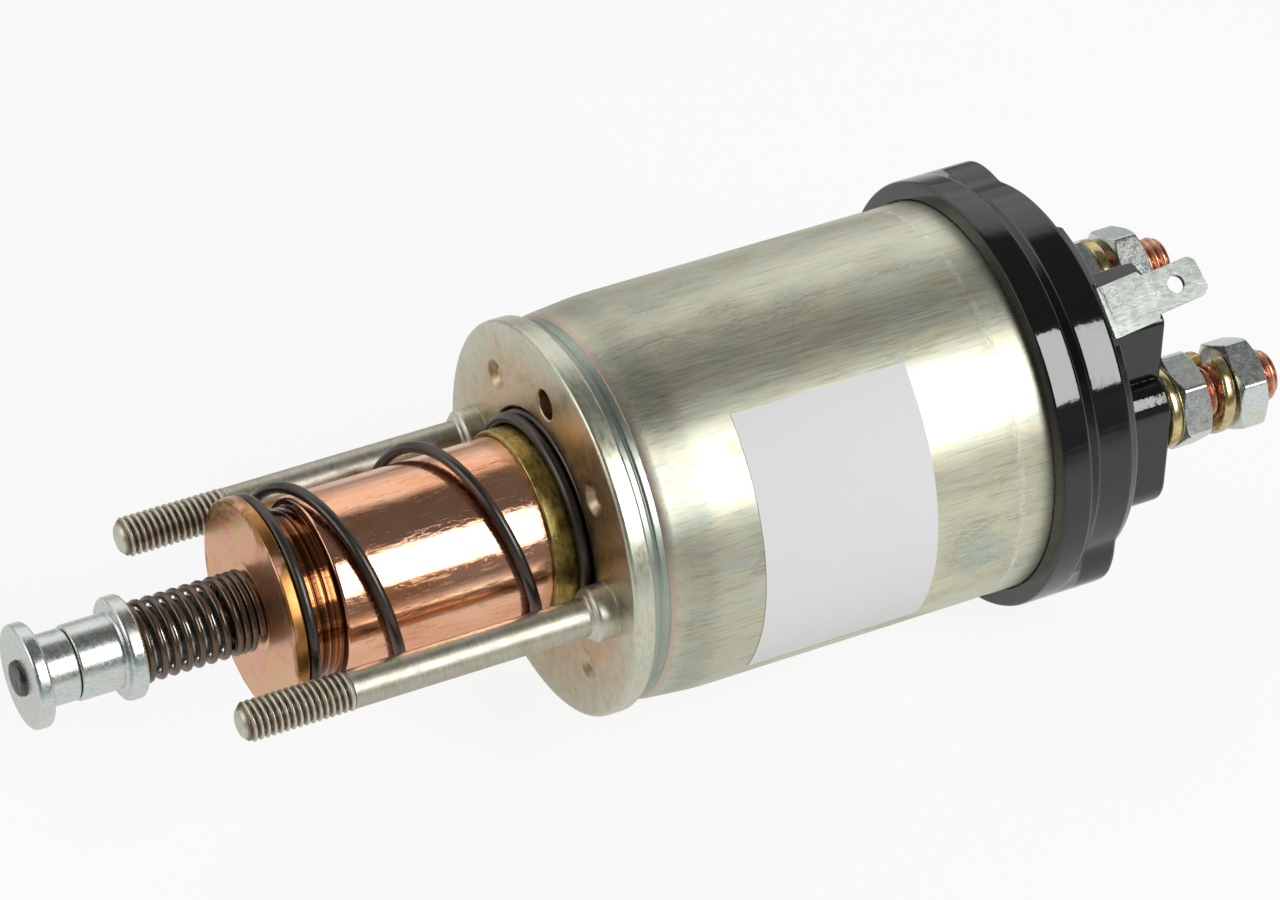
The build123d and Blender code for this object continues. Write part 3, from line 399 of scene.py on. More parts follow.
class Shader:
    """The nodes of a material or of the room, added one after another."""

    def __init__(self, owner: bpy.types.Material | bpy.types.World) -> None:
        """Starts on the nodes of a material or of the world."""
        owner.use_nodes = True
        self.tree = owner.node_tree
        nodes = self.tree.nodes
        self.surface = nodes.get("Principled BSDF") or nodes["Background"]
        self.texture = self.add("ShaderNodeTexCoord")
        self.place = self.texture.outputs["Object"]

    def add(self, kind: str, inputs: dict[str | int, Any] | None = None,
            **settings: Any) -> bpy.types.Node:
        """Adds a node, sets its attributes and fills its inputs."""
        node = self.tree.nodes.new(kind)
        for name, value in settings.items():
            setattr(node, name, value)
        for name, value in (inputs or {}).items():
            self.fill(node.inputs[name], value)
        return node

    def fill(self, socket: Socket, value: Any) -> None:
        """Links a socket to another one, or sets it to a plain value."""
        if isinstance(value, Socket):
            self.tree.links.new(value, socket)
        else:
            socket.default_value = value

    def set(self, **values: Any) -> None:
        """Fills sockets of the surface; their names have underscores for spaces."""
        for name, value in values.items():
            self.fill(self.surface.inputs[name.replace("_", " ")], value)

    def stretched(self, scale: Point, shift: float = 0.0, turn: float = 0.0) -> Socket:
        """Returns the object's place in millimetres, times a factor on each axis.

        Args:
            scale: The factors.
            shift: How far the place is moved afterwards.
            turn: How far the object is turned back about the plunger axis.

        Returns:
            The place.
        """
        return self.add("ShaderNodeMapping", {
            "Vector": self.place,
            "Scale": [MILLIMETRES * factor for factor in scale],
            "Location": (shift,) * 3,
            "Rotation": (math.radians(-turn), 0, 0),
        }).outputs["Vector"]

    def noise(self, pattern: Pattern, place: Socket | None = None) -> Socket:
        """Returns a cloudy value from 0 to 1, over the object unless another place is given."""
        if place is None:
            place = self.stretched(pattern.rate, pattern.shift)
        return self.add("ShaderNodeTexNoise", {
            "Vector": place, "Scale": 1.0, "Detail": pattern.detail,
            "Roughness": pattern.roughness, "Distortion": pattern.stir,
        }).outputs["Fac"]

    def remap(self, value: Any, low: float, high: float, start: float = 0.0,
              end: float = 1.0) -> Socket:
        """Returns value moved from the range start..end to low..high, clamped."""
        return self.add("ShaderNodeMapRange", {
            "Value": value, "From Min": start, "From Max": end, "To Min": low, "To Max": high,
        }, clamp=True).outputs["Result"]

    def rising(self, value: Any, start: float, end: float) -> Socket:
        """Returns 0 up to start, 1 from end on, and a share in between."""
        return self.remap(value, 0.0, 1.0, start, end)

    def falling(self, value: Any, start: float, end: float) -> Socket:
        """Returns 1 up to start, 0 from end on, and a share in between."""
        return self.remap(value, 1.0, 0.0, start, end)

    def calc(self, operation: str, first: Any, second: Any = 0.0) -> Socket:
        """Returns the result of a sum on two values."""
        return self.add("ShaderNodeMath", {0: first, 1: second}, operation=operation).outputs["Value"]

    def times(self, first: Any, second: Any) -> Socket:
        """Returns the product of two values."""
        return self.calc("MULTIPLY", first, second)

    def ramp(self, value: Any, stops: Sequence[tuple[float, Colour]]) -> Socket:
        """Returns a colour read from a ramp of (position, colour) stops."""
        node = self.add("ShaderNodeValToRGB", {"Fac": value})
        elements = node.color_ramp.elements
        for element, (position, colour) in zip(elements, (stops[0], stops[-1])):
            element.position, element.color = position, (*colour, 1)
        for position, colour in stops[1:-1]:
            elements.new(position).color = (*colour, 1)
        return node.outputs["Color"]

    def tinted(self, value: Any, tints: Sequence[Colour], start: float, end: float) -> Socket:
        """Returns a colour that runs evenly through the tints between two values."""
        step = (end - start) / (len(tints) - 1)
        return self.ramp(value, [(start + step * number, tint) for number, tint in enumerate(tints)])

    def mix(self, share: Any, first: Any, second: Any, blend: str = "MIX") -> Socket:
        """Returns a mix of two colours."""
        first, second = ((*value, 1) if isinstance(value, tuple) else value
                         for value in (first, second))
        return self.add("ShaderNodeMix", {"Factor": share, 6: first, 7: second},
                        data_type="RGBA", blend_type=blend).outputs[2]

    def darkened(self, colour: Any, shade: Any) -> Socket:
        """Returns a colour times a shade from 0 to 1."""
        return self.mix(1.0, colour, self.ramp(shade, [(0.0, BLACK), (1.0, WHITE)]), "MULTIPLY")

    def bump(self, height: Any, distance: float, under: Socket | None = None) -> Socket:
        """Returns a normal that rises with height, distance millimetres at most."""
        inputs = {"Strength": 1.0, "Distance": distance * METRES, "Height": height}
        if under is not None:
            inputs["Normal"] = under
        return self.add("ShaderNodeBump", inputs).outputs["Normal"]

    def parts(self, place: Socket) -> bpy.types.bpy_prop_collection:
        """Returns the parts of a place along X, Y and Z."""
        return self.add("ShaderNodeSeparateXYZ", {"Vector": place}).outputs

    def pair(self, first: Any, second: Any) -> Socket:
        """Returns a place made of two values."""
        return self.add("ShaderNodeCombineXYZ", {"X": first, "Y": second}).outputs["Vector"]

    def rays(self, kind: str) -> Socket:
        """Returns 1 for rays of a kind and 0 for all others."""
        return self.add("ShaderNodeLightPath").outputs[kind]

    def length(self, place: Socket) -> Socket:
        """Returns how far a place is from the origin."""
        return self.add("ShaderNodeVectorMath", {0: place}, operation="LENGTH").outputs["Value"]

    def radius(self) -> Socket:
        """Returns the distance from the plunger axis in millimetres."""
        return self.length(self.stretched((0, 1, 1)))

    def along(self) -> Socket:
        """Returns the place along the plunger axis in millimetres."""
        return self.parts(self.stretched(EVEN))["X"]

    def from_stud(self, spread: float, turn: float) -> Socket:
        """Returns the distance from the nearer of two studs, in millimetres.

        Args:
            spread: Distance between the studs.
            turn: How far the pair is turned about the plunger axis.

        Returns:
            The distance.
        """
        parts = self.parts(self.stretched(EVEN, turn=turn))
        across = self.calc("SUBTRACT", self.calc("ABSOLUTE", parts["Y"]), spread / 2)
        return self.length(self.pair(across, parts["Z"]))

    def between(self, value: Any, edges: tuple[float, float, float, float]) -> Socket:
        """Returns 1 between the middle two edges, fading to 0 at the outer two."""
        return self.times(self.rising(value, *edges[:2]), self.falling(value, *edges[2:]))


@dataclass(frozen=True)
class ThreadShade:
    """The painted shade in the valleys of the thread on a pair of studs.

    Args:
        spread: Distance between the studs in millimetres.
        turn: How far the pair is turned about the plunger axis.
        bottom: Radius of the valleys.
        top: Radius where their colour ends.
        colour: Colour of the painted shade in the valleys.
    """

    spread: float
    turn: float
    bottom: float
    top: float
    colour: Colour


@dataclass(frozen=True)
class Rim:
    """The outer rim of a round plate.

    Args:
        start: Radius where its colour starts to show.
        end: Radius where it shows fully.
        colour: Its colour.
    """

    start: float
    end: float
    colour: Colour


@dataclass(frozen=True)
class PlatedFinish:
    """Plated or bare metal with a cloudy tint and a fine grain.

    Args:
        name: Name of the material.
        tints: Colours that the clouds run through.
        roughness: Lowest and highest roughness.
        cloud: Size of the clouds in millimetres.
        grain: Length of the grain's marks along X, Y and Z, in millimetres.
        grain_tone: How much the grain darkens the colour.
        grain_depth: Depth of the grain in millimetres.
        turned: Whether fine rings about the plunger axis take the place of the straight grain.
        swirl: How much the clouds are stirred.
        thread: The painted shade in the thread's valleys, if it has one.
        rim: The outer rim, if it looks different.
    """

    name: str
    tints: tuple[Colour, ...]
    roughness: tuple[float, float] = (0.25, 0.4)
    cloud: float = 12.0
    grain: Point = (12.0, 0.25, 0.25)
    grain_tone: float = 0.15
    grain_depth: float = 0.004
    turned: bool = False
    swirl: float = 0.6
    thread: ThreadShade | None = None
    rim: Rim | None = None

    def dress(self, shader: Shader) -> None:
        """Fills a material with the finish."""
        cloud = shader.noise(Pattern((1 / self.cloud,) * 3, detail=3.0, roughness=0.6, stir=self.swirl))
        tint = shader.tinted(cloud, self.tints, 0.3, 0.7)
        if self.turned:
            rate = 1 / self.grain[1]
            rings = shader.pair(shader.times(shader.along(), rate),
                                shader.times(shader.radius(), rate))
            grain = shader.noise(Pattern(detail=2.0), rings)
        else:
            grain = shader.noise(Pattern(tuple(1 / length for length in self.grain), roughness=0.6))
        if self.rim is not None:
            uneven = shader.calc("ADD", shader.radius(), shader.remap(cloud, -1.5, 1.5, 0.3, 0.7))
            outside = shader.rising(uneven, self.rim.start, self.rim.end)
            tint = shader.mix(outside, tint, self.rim.colour)
        colour = shader.darkened(tint, shader.remap(grain, 1 - self.grain_tone, 1.0, 0.3, 0.6))
        # Painted shade: the thread's valleys are darkened towards the valley colour.
        if self.thread is not None:
            away = shader.from_stud(self.thread.spread, self.thread.turn)
            bottom, top = self.thread.bottom, self.thread.top
            valley_shade = shader.between(away, (bottom - 0.5, bottom - 0.2, bottom, top))
            colour = shader.mix(shader.times(valley_shade, 0.85), colour, self.thread.colour)
        fine = shader.noise(Pattern((0.8, 0.8, 0.8), 5.0, 3.0))
        rough = shader.remap(shader.calc("ADD", grain, fine), *self.roughness, 0.7, 1.3)
        shader.set(Base_Color=colour, Metallic=1.0, Roughness=rough,
                   Normal=shader.bump(grain, self.grain_depth))


@dataclass(frozen=True)
class CanFinish:
    """Zinc on the drawn can: soft clouds, fine draw marks, rubbed patches, a worn crease and painted
    shade on the front shoulder.

    Args:
        name: Name of the material.
        tints: Colours that the clouds run through.
        rubbed_and_shade: Colour of the dark rubbed patches, and of the painted shade band on the front
            shoulder.
        worn: Colour of the worn crease.
        lip: Colour of the front lip.
        lip_end: Where the lip ends, in millimetres along the axis.
        crease: Where the crease runs.
        shoulder: Where the painted shade band on the front shoulder ends.
        roughness: Lowest and highest roughness.
        clouds: Pattern of the clouds.
        marks: Pattern of the draw marks.
        patches: Pattern of the rubbed patches.
        specks: Pattern of the specks in them.
        hairs: Pattern of the fine dark lines.
        chips: Pattern of the chips on the crease.
    """

    name: str
    tints: tuple[Colour, ...]
    rubbed_and_shade: Colour
    worn: Colour
    lip: Colour
    lip_end: float = 6.9
    crease: float = CREASE
    shoulder: float = 14.5
    roughness: tuple[float, float] = (0.34, 0.50)
    clouds: Pattern = Pattern((0.045, 0.075, 0.075), 0.0, 4.0, 0.6, 0.8)
    marks: Pattern = Pattern((0.12, 4.0, 4.0), 7.0, 5.0, 0.75)
    patches: Pattern = Pattern((0.05, 0.12, 0.12), 20.0, 3.0)
    specks: Pattern = Pattern((0.7, 5.0, 5.0), 4.0, 6.0, 0.85)
    hairs: Pattern = Pattern((0.09, 2.2, 2.2), 31.0, 4.0, 0.8)
    chips: Pattern = Pattern((1.4, 0.5, 0.5), 11.0, 5.0, 0.75)

    def dress(self, shader: Shader) -> None:
        """Fills a material with the finish."""
        marks, hairs, patches, specks, chips = (
            shader.noise(pattern)
            for pattern in (self.marks, self.hairs, self.patches, self.specks, self.chips))
        colour = shader.tinted(shader.noise(self.clouds), self.tints, 0.32, 0.68)
        colour = shader.darkened(colour, shader.remap(marks, 0.84, 1.0, 0.35, 0.6))
        rubbed_and_shade = shader.times(shader.rising(patches, 0.52, 0.66), shader.rising(specks, 0.42, 0.62))
        axis = shader.along()
        # Darker towards the front of the can: 0.8 at 10 mm along the axis, unchanged from 52 mm on.
        colour = shader.darkened(colour, shader.remap(axis, 0.80, 1.0, 10.0, 52.0))
        colour = shader.mix(shader.times(rubbed_and_shade, 0.6), colour, self.rubbed_and_shade)
        colour = shader.darkened(colour, shader.remap(hairs, 0.78, 1.0, 0.36, 0.46))
        # Painted shade: a dark band on the front shoulder, mixed halfway towards the dark rubbed colour.
        front = shader.between(axis, (7.5, 9.5, self.shoulder - 2.5, self.shoulder))
        painted_shade_band = shader.times(front, shader.remap(hairs, 0.7, 0.3, 0.35, 0.6))
        colour = shader.mix(shader.times(painted_shade_band, 0.5), colour, self.rubbed_and_shade)
        crease = shader.between(axis, (self.crease - 0.7, self.crease - 0.15,
                                       self.crease + 0.15, self.crease + 0.7))
        worn = shader.times(crease, shader.rising(chips, 0.42, 0.58))
        colour = shader.mix(shader.times(worn, 0.8), colour, self.worn)
        lip = shader.remap(axis, 0.7, 0.0, self.lip_end - 0.3, self.lip_end + 0.2)
        colour = shader.mix(lip, colour, self.lip)
        rough = shader.remap(shader.calc("ADD", marks, patches), *self.roughness, 0.75, 1.25)
        fine = shader.bump(marks, 0.003, shader.bump(specks, 0.0015))
        shader.set(Base_Color=colour, Metallic=1.0, Roughness=rough,
                   Normal=shader.bump(worn, 0.02, fine))


@dataclass(frozen=True)
class CopperFinish:
    """Bright copper plating with dark scratches, and turned rings on the neck.

    Args:
        name: Name of the material.
        tints: Colours from bright to tarnished.
        scratched: Colour in the scratches.
        neck: Colour of the neck.
        neck_end: Where the neck ends, in millimetres along the axis.
        roughness: Lowest and highest roughness.
        clouds: Pattern of the tarnish.
        scratches: Pattern of the scratches.
        pits: Pattern of the pits.
        waves: Pattern of the slow waves in the surface.
        turns: Pattern of the turned rings.
    """

    name: str
    tints: tuple[Colour, Colour, Colour]
    scratched: Colour
    neck: Colour
    neck_end: float = -37.4
    roughness: tuple[float, float] = (0.09, 0.17)
    clouds: Pattern = Pattern((0.05, 0.12, 0.12), 0.0, 4.0, 0.6, 0.4)
    scratches: Pattern = Pattern((0.22, 1.6, 1.6), 3.0, 6.0, 0.8, 0.2)
    pits: Pattern = Pattern((0.9, 1.3, 1.3), 8.0, 5.0, 0.75)
    waves: Pattern = Pattern((0.08, 0.35, 0.35), 9.0, 2.0)
    turns: Pattern = Pattern(detail=4.0, roughness=0.8)

    def dress(self, shader: Shader) -> None:
        """Fills a material with the finish."""
        tint = shader.ramp(shader.noise(self.clouds), list(zip((0.35, 0.52, 0.70), self.tints)))
        scratch = shader.noise(self.scratches)
        mark = shader.calc("MAXIMUM", shader.remap(scratch, 0.0, 0.7, 0.54, 0.64),
                           shader.remap(shader.noise(self.pits), 0.0, 0.8, 0.60, 0.68))
        axis = shader.along()
        lines = shader.noise(self.turns, shader.pair(shader.times(axis, 2.6), 0.5))
        neck = shader.falling(axis, self.neck_end - 0.1, self.neck_end + 0.1)
        rings = shader.darkened(self.neck, shader.remap(lines, 0.08, 1.0, 0.42, 0.62))
        worn = shader.mix(shader.times(mark, 0.45), tint, self.scratched)
        rough = shader.calc("ADD", shader.remap(scratch, *self.roughness, 0.35, 0.7),
                            shader.times(mark, 0.25))
        height = shader.calc("ADD", shader.calc("ADD", scratch, mark), shader.times(neck, lines))
        waves = shader.bump(shader.noise(self.waves), 0.02)
        shader.set(Base_Color=shader.mix(neck, worn, rings), Metallic=1.0, Roughness=rough,
                   Normal=shader.bump(height, 0.005, waves))


@dataclass(frozen=True)
class MouldedFinish:
    """Plain plastic, rubber or paint with faint handling marks.

    Args:
        name: Name of the material.
        colour: Its colour.
        roughness: Lowest and highest roughness.
        speckle: Size of the surface's unevenness in millimetres.
        depth: Depth of that unevenness in millimetres.
        metallic: Above 0 for a painted or oiled wire that lets its metal show.
        gloss: How strongly the surface reflects, 0.5 for plain plastic.
        clouding: How much darker the darkest clouds are.
    """

    name: str
    colour: Colour
    roughness: tuple[float, float]
    speckle: float = 1.5
    depth: float = 0.004
    metallic: float = 0.0
    gloss: float = 0.5
    clouding: float = 0.25

    def dress(self, shader: Shader) -> None:
        """Fills a material with the finish."""
        speckle = shader.noise(Pattern((1 / self.speckle,) * 3, detail=5.0, roughness=0.6))
        cloud = shader.noise(Pattern((0.08, 0.08, 0.08), 2.0, 3.0))
        dim = tuple((1 - self.clouding) * part for part in self.colour)
        rough = shader.remap(shader.calc("ADD", speckle, cloud), *self.roughness, 0.7, 1.3)
        shader.set(Base_Color=shader.mix(cloud, dim, self.colour), Roughness=rough,
                   Metallic=self.metallic, Specular_IOR_Level=self.gloss,
                   Normal=shader.bump(speckle, self.depth))


# The dark colour serves both the rubbed patches and the painted shade band on the front shoulder.
CAN_ZINC = CanFinish(
    "can_zinc", ((0.72, 0.69, 0.49), (0.76, 0.78, 0.63), (0.80, 0.77, 0.58), (0.68, 0.74, 0.63)),
    rubbed_and_shade=(0.20, 0.21, 0.17), worn=(0.88, 0.88, 0.76), lip=(0.62, 0.46, 0.40))
FLANGE_ZINC = PlatedFinish(
    "flange_zinc", ((0.70, 0.42, 0.27), (0.60, 0.48, 0.27), (0.72, 0.52, 0.36), (0.55, 0.50, 0.33),
                    (0.74, 0.48, 0.36)),
    (0.26, 0.40), 9.0, (0.5, 2.0, 2.0), 0.18, 0.003, swirl=1.2, rim=Rim(22.0, 30.5, (0.70, 0.71, 0.57)))
# Zinc of the flange's set-back band: its grey-green tone is the plating's own, its darkness is painted
# shade.
SHADED_BAND_ZINC = PlatedFinish(
    "band_zinc_shaded", ((0.36, 0.42, 0.35), (0.42, 0.47, 0.40)),
    (0.30, 0.44), 10.0, (0.5, 8.0, 8.0), 0.15, 0.003)
STUD_ZINC = PlatedFinish(
    "stud_zinc", ((0.64, 0.63, 0.48), (0.74, 0.75, 0.62), (0.72, 0.64, 0.56)),
    (0.36, 0.52), 5.0, (0.3, 2.0, 2.0), 0.25, 0.004,
    thread=ThreadShade(STUD_SPREAD, 0.0, 2.64, 2.94, (0.20, 0.13, 0.09)))
SLEEVE_BRASS = PlatedFinish(
    "sleeve_brass", ((0.36, 0.27, 0.07), (0.58, 0.46, 0.16), (0.46, 0.38, 0.12)),
    (0.24, 0.42), 4.0, (0.6, 1.2, 1.2), 0.5, 0.006)
PLUNGER_COPPER = CopperFinish(
    "plunger_copper", ((0.94, 0.56, 0.38), (0.90, 0.47, 0.29), (0.76, 0.33, 0.17)),
    scratched=(0.30, 0.14, 0.08), neck=(0.72, 0.25, 0.09))
PLATE_COPPER = PlatedFinish(
    "plate_copper", ((0.95, 0.42, 0.22), (0.96, 0.50, 0.36), (0.88, 0.57, 0.26), (0.96, 0.47, 0.34),
                     (0.92, 0.38, 0.19)),
    (0.26, 0.40), 9.0, (0.0, 0.5, 0.0), 0.08, 0.001, turned=True, swirl=1.3,
    rim=Rim(15.2, 16.3, (0.42, 0.20, 0.06)))
BRIGHT_ZINC = PlatedFinish(
    "bright_zinc", ((0.60, 0.70, 0.69), (0.74, 0.80, 0.78), (0.74, 0.77, 0.68), (0.76, 0.72, 0.80)),
    (0.20, 0.36), 4.0, (0.45, 0.35, 0.35), 0.22, 0.003)
YELLOW_ZINC = PlatedFinish(
    "yellow_zinc", ((0.52, 0.38, 0.13), (0.74, 0.62, 0.32), (0.66, 0.46, 0.30)),
    (0.16, 0.30), 3.0, (0.8, 0.8, 0.8), 0.3, 0.005)
TERMINAL_COPPER = PlatedFinish(
    "terminal_copper", ((0.88, 0.44, 0.29), (0.94, 0.58, 0.43)),
    (0.24, 0.40), 3.0, (0.8, 0.8, 0.8), 0.2, 0.004,
    thread=ThreadShade(TERMINAL_SPREAD, CAP_TURN, 3.45, 3.90, (0.52, 0.20, 0.11)))
BLADE_TIN = PlatedFinish(
    "blade_tin", ((0.47, 0.51, 0.47), (0.60, 0.63, 0.59)),
    (0.20, 0.28), 5.0, (1.0, 0.3, 0.3), 0.20, 0.00025)
ROD_STEEL = PlatedFinish(
    "rod_steel", ((0.10, 0.09, 0.09), (0.20, 0.19, 0.18)),
    (0.3, 0.5), 2.0, (0.8, 0.8, 0.8), 0.3, 0.01)
SOFT_IRON = PlatedFinish("soft_iron", ((0.42, 0.42, 0.41), (0.52, 0.52, 0.50)), (0.35, 0.5))
WINDING_COPPER = PlatedFinish(
    "winding_copper", ((0.42, 0.18, 0.09), (0.55, 0.27, 0.14)),
    (0.25, 0.35), 4.0, (0.3, 6.0, 6.0), 0.3, 0.02)
DARK_SPRING = MouldedFinish("dark_spring", (0.18, 0.135, 0.10), (0.20, 0.34), 1.0, 0.004, 0.9)
BLACK_SPRING = MouldedFinish("black_spring", (0.115, 0.10, 0.088), (0.26, 0.40), 1.0, 0.006, 0.9)
CAP_BLACK = MouldedFinish("cap_black", (0.003, 0.003, 0.003), (0.04, 0.09), 5.0, 0.04, gloss=0.75)
BOBBIN_PLASTIC = MouldedFinish("bobbin_plastic", (0.72, 0.66, 0.52), (0.4, 0.5))
INSULATOR = MouldedFinish("insulator", (0.22, 0.12, 0.07), (0.4, 0.55))
WRAP_PAPER = MouldedFinish("wrap_paper", (0.70, 0.60, 0.42), (0.6, 0.8))
GASKET_RUBBER = MouldedFinish("gasket_rubber", (0.03, 0.03, 0.03), (0.6, 0.8))
LABEL_PAPER = MouldedFinish("label_paper", (0.90, 0.905, 0.90), (0.55, 0.7), 0.8, 0.004, clouding=0.03)

Finish = PlatedFinish | CanFinish | CopperFinish | MouldedFinish

HIDDEN_FINISHES: dict[str, Finish] = {
    "coil_bobbin": BOBBIN_PLASTIC,
    "pull_in_winding": WINDING_COPPER,
    "hold_in_winding": WINDING_COPPER,
    "winding_wrap": WRAP_PAPER,
    "fixed_core": SOFT_IRON,
    "yoke_plate": SOFT_IRON,
    "cap_gasket": GASKET_RUBBER,
    "cap_screws": BRIGHT_ZINC,
    "stud_seals": GASKET_RUBBER,
    "blade_lead": WINDING_COPPER,
    "contact_rod": ROD_STEEL,
    "rod_clip": DARK_SPRING,
    "contact_bridge": TERMINAL_COPPER,
    "bridge_bush": INSULATOR,
    "bridge_washer": INSULATOR,
}


class Paint:
    """Keeps one material for each finish."""

    made: dict[str, bpy.types.Material] = {}

    @classmethod
    def of(cls, finish: Finish) -> bpy.types.Material:
        """Returns the material of a finish, built once."""
        if finish.name not in cls.made:
            cls.made[finish.name] = bpy.data.materials.new(finish.name)
            finish.dress(Shader(cls.made[finish.name]))
        return cls.made[finish.name]


@dataclass
class Assembly:
    """A sub-assembly of the solenoid.

    Args:
        body: The body that its pieces move with.
        turn: How far the whole sub-assembly is turned about the axis.
    """

    body: Body
    turn: float = 0.0

    def show(self, name: str, mesh: BMesh, finish: Finish, *nodes: str, sharp: float = 35.0,
             rides: bool = True, slot: str | None = None) -> bpy.types.Object:
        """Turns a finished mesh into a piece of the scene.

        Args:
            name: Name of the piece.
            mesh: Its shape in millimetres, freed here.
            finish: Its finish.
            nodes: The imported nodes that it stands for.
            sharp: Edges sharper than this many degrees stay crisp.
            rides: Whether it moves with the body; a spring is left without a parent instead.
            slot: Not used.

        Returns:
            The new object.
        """
        bmesh.ops.rotate(mesh, cent=(0, 0, 0), matrix=Matrix.Rotation(math.radians(self.turn), 3, "X"),
                         verts=mesh.verts[:])
        bmesh.ops.scale(mesh, vec=(METRES,) * 3, verts=mesh.verts[:])
        data = bpy.data.meshes.new(name)
        mesh.to_mesh(data)
        mesh.free()
        for polygon in data.polygons:
            polygon.use_smooth = True
        data.set_sharp_from_angle(angle=math.radians(sharp))
        data.materials.append(Paint.of(finish))
        piece = bpy.data.objects.new(name, data)
        bpy.context.scene.collection.objects.link(piece)
        weighted = piece.modifiers.new("weighted", "WEIGHTED_NORMAL")
        weighted.keep_sharp = True
        if nodes:
            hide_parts(*nodes)
        if rides:
            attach(piece, self.body.value)
        LOG.info("%s: %d faces", name, len(data.polygons))
        return piece


@dataclass
class Housing(Assembly):
    """Can, mounting flange, guide sleeve and label."""

    body: Body = Body.HOUSING
    radius: float = 30.0
    wall: float = 2.0
    plate: float = 3.4
    band: float = 2.6
    band_inset: float = 1.1
    rear: float = 70.9
    shoulder: float = 9.0
    lip_inset: float = 1.0
    crease: float = CREASE
    sleeve_reach: float = 5.0
    sleeve_radius: float = 14.78
    sleeve_bore: float = 14.08
    seat_radius: float = 17.075
    seat_depth: float = 2.0
    dimple_angles: tuple[float, ...] = (42, 133, 223, 315)
    dimple_circle: float = 22.0
    dimple_radius: float = 2.6
    dimple_depth: float = 1.1
    dimple_floor: float = 0.4
    vent_angle: float = 88.0
    vent_circle: float = 21.4
    vent_radius: float = 2.25
    label_start: float = 21.0
    label_width: float = 28.2
    label_angles: tuple[float, float] = (122.0, 209.0)
    label_thickness: float = 0.12

    @property
    def front(self) -> float:
        """Where the can starts behind the flange."""
        return self.plate + self.band

    def can(self) -> BMesh:
        """Builds the drawn can with its rounded front lip and the rolled crease."""
        lip = self.radius - self.lip_inset
        bore = self.radius - self.wall
        return Workshop.turned([
            Corner(self.front, bore),
            Corner(self.front, lip - 0.5),
            Corner(self.front + 0.15, lip, 0.1),
            Corner(self.front + 1.2, lip + 0.3, 0.6),
            Corner(self.front + self.shoulder, self.radius, 1.6, 8),
            Corner(self.crease - 1.4, self.radius, 0.6),
            Corner(self.crease, self.radius - 0.08, 0.6),
            Corner(self.crease + 1.4, self.radius, 0.6),
            Corner(self.rear, self.radius, 0.3),
            Corner(self.rear, bore),
        ], closed=True, segments=256)

    def flange(self) -> BMesh:
        """Builds the mounting flange with its stake dimples and the vent hole."""
        band = self.radius - self.band_inset
        mesh = Workshop.turned([
            Corner(self.seat_depth, self.sleeve_radius),
            Corner(self.seat_depth, self.seat_radius, 0.3),
            Corner(0, self.seat_radius, 0.3),
            Corner(0, self.radius, 0.7, 5),
            Corner(self.plate, self.radius, 0.5, 5),
            Corner(self.plate, band - 0.3),
            Corner(self.front + 0.4, band - 0.3),
            Corner(self.front + 0.4, self.sleeve_radius),
        ], closed=True, segments=192)
        level = [face for face in mesh.faces if all(abs(point.co.x) < NEAR_ZERO for point in face.verts)]
        pits = [(self.dimple_radius, polar(self.dimple_circle, angle), self.dimple_depth,
                 self.dimple_floor) for angle in self.dimple_angles]
        pits.append((self.vent_radius, polar(self.vent_circle, self.vent_angle), self.front, 1.0))
        upright = Matrix.Rotation(math.radians(90), 4, "Y")
        rims = [Workshop.circle(mesh, radius, 32, Matrix.Translation((0, *place)) @ upright)
                for radius, place, _, _ in pits]
        Workshop.opened(mesh, level, rims)
        for rim, (_, _, depth, narrowing) in zip(rims, pits):
            Workshop.sunk(mesh, rim, (depth, 0, 0), narrowing)
        Workshop.soften(Workshop.outwards(mesh), 0.3, 35.0)
        return mesh

    def band_ring(self) -> BMesh:
        """Builds the set-back band of the flange, with the groove that runs round it."""
        band = self.radius - self.band_inset
        groove = self.plate + 0.55 * self.band
        return Workshop.turned([
            Corner(self.plate - 0.3, band - 0.6), Corner(self.plate - 0.3, band),
            Corner(groove - 0.35, band, 0.1), Corner(groove, band - 0.22, 0.1),
            Corner(groove + 0.35, band, 0.1), Corner(self.front + 0.4, band),
            Corner(self.front + 0.4, band - 0.6),
        ], closed=True, segments=192)

    def sleeve(self) -> BMesh:
        """Builds the end of the guide sleeve that stands out of the flange."""
        return Workshop.turned([
            Corner(-self.sleeve_reach, self.sleeve_bore, 0.1),
            Corner(-self.sleeve_reach, self.sleeve_radius, 0.25),
            Corner(self.front, self.sleeve_radius),
            Corner(self.front, self.sleeve_bore),
        ], closed=True, segments=160)

    def label(self) -> BMesh:
        """Builds the bare paper label that is wrapped round the can."""
        start, end = self.label_start, self.label_start + self.label_width
        inner, outer = self.radius + 0.01, self.radius + self.label_thickness
        return Workshop.swept([Corner(start, inner), Corner(start, outer), Corner(end, outer),
                               Corner(end, inner)], self.label_angles, 72)

    def build(self) -> None:
        """Adds the housing's pieces."""
        self.show("can_shell", self.can(), CAN_ZINC, "housing_can")
        self.show("flange_disc", self.flange(), FLANGE_ZINC, "mounting_flange")
        self.show("flange_band", self.band_ring(), SHADED_BAND_ZINC, "mounting_flange", slot="flange_zinc")
        self.show("sleeve_end", self.sleeve(), SLEEVE_BRASS, "brass_sleeve")
        self.show("paper_label", self.label(), LABEL_PAPER, "label")


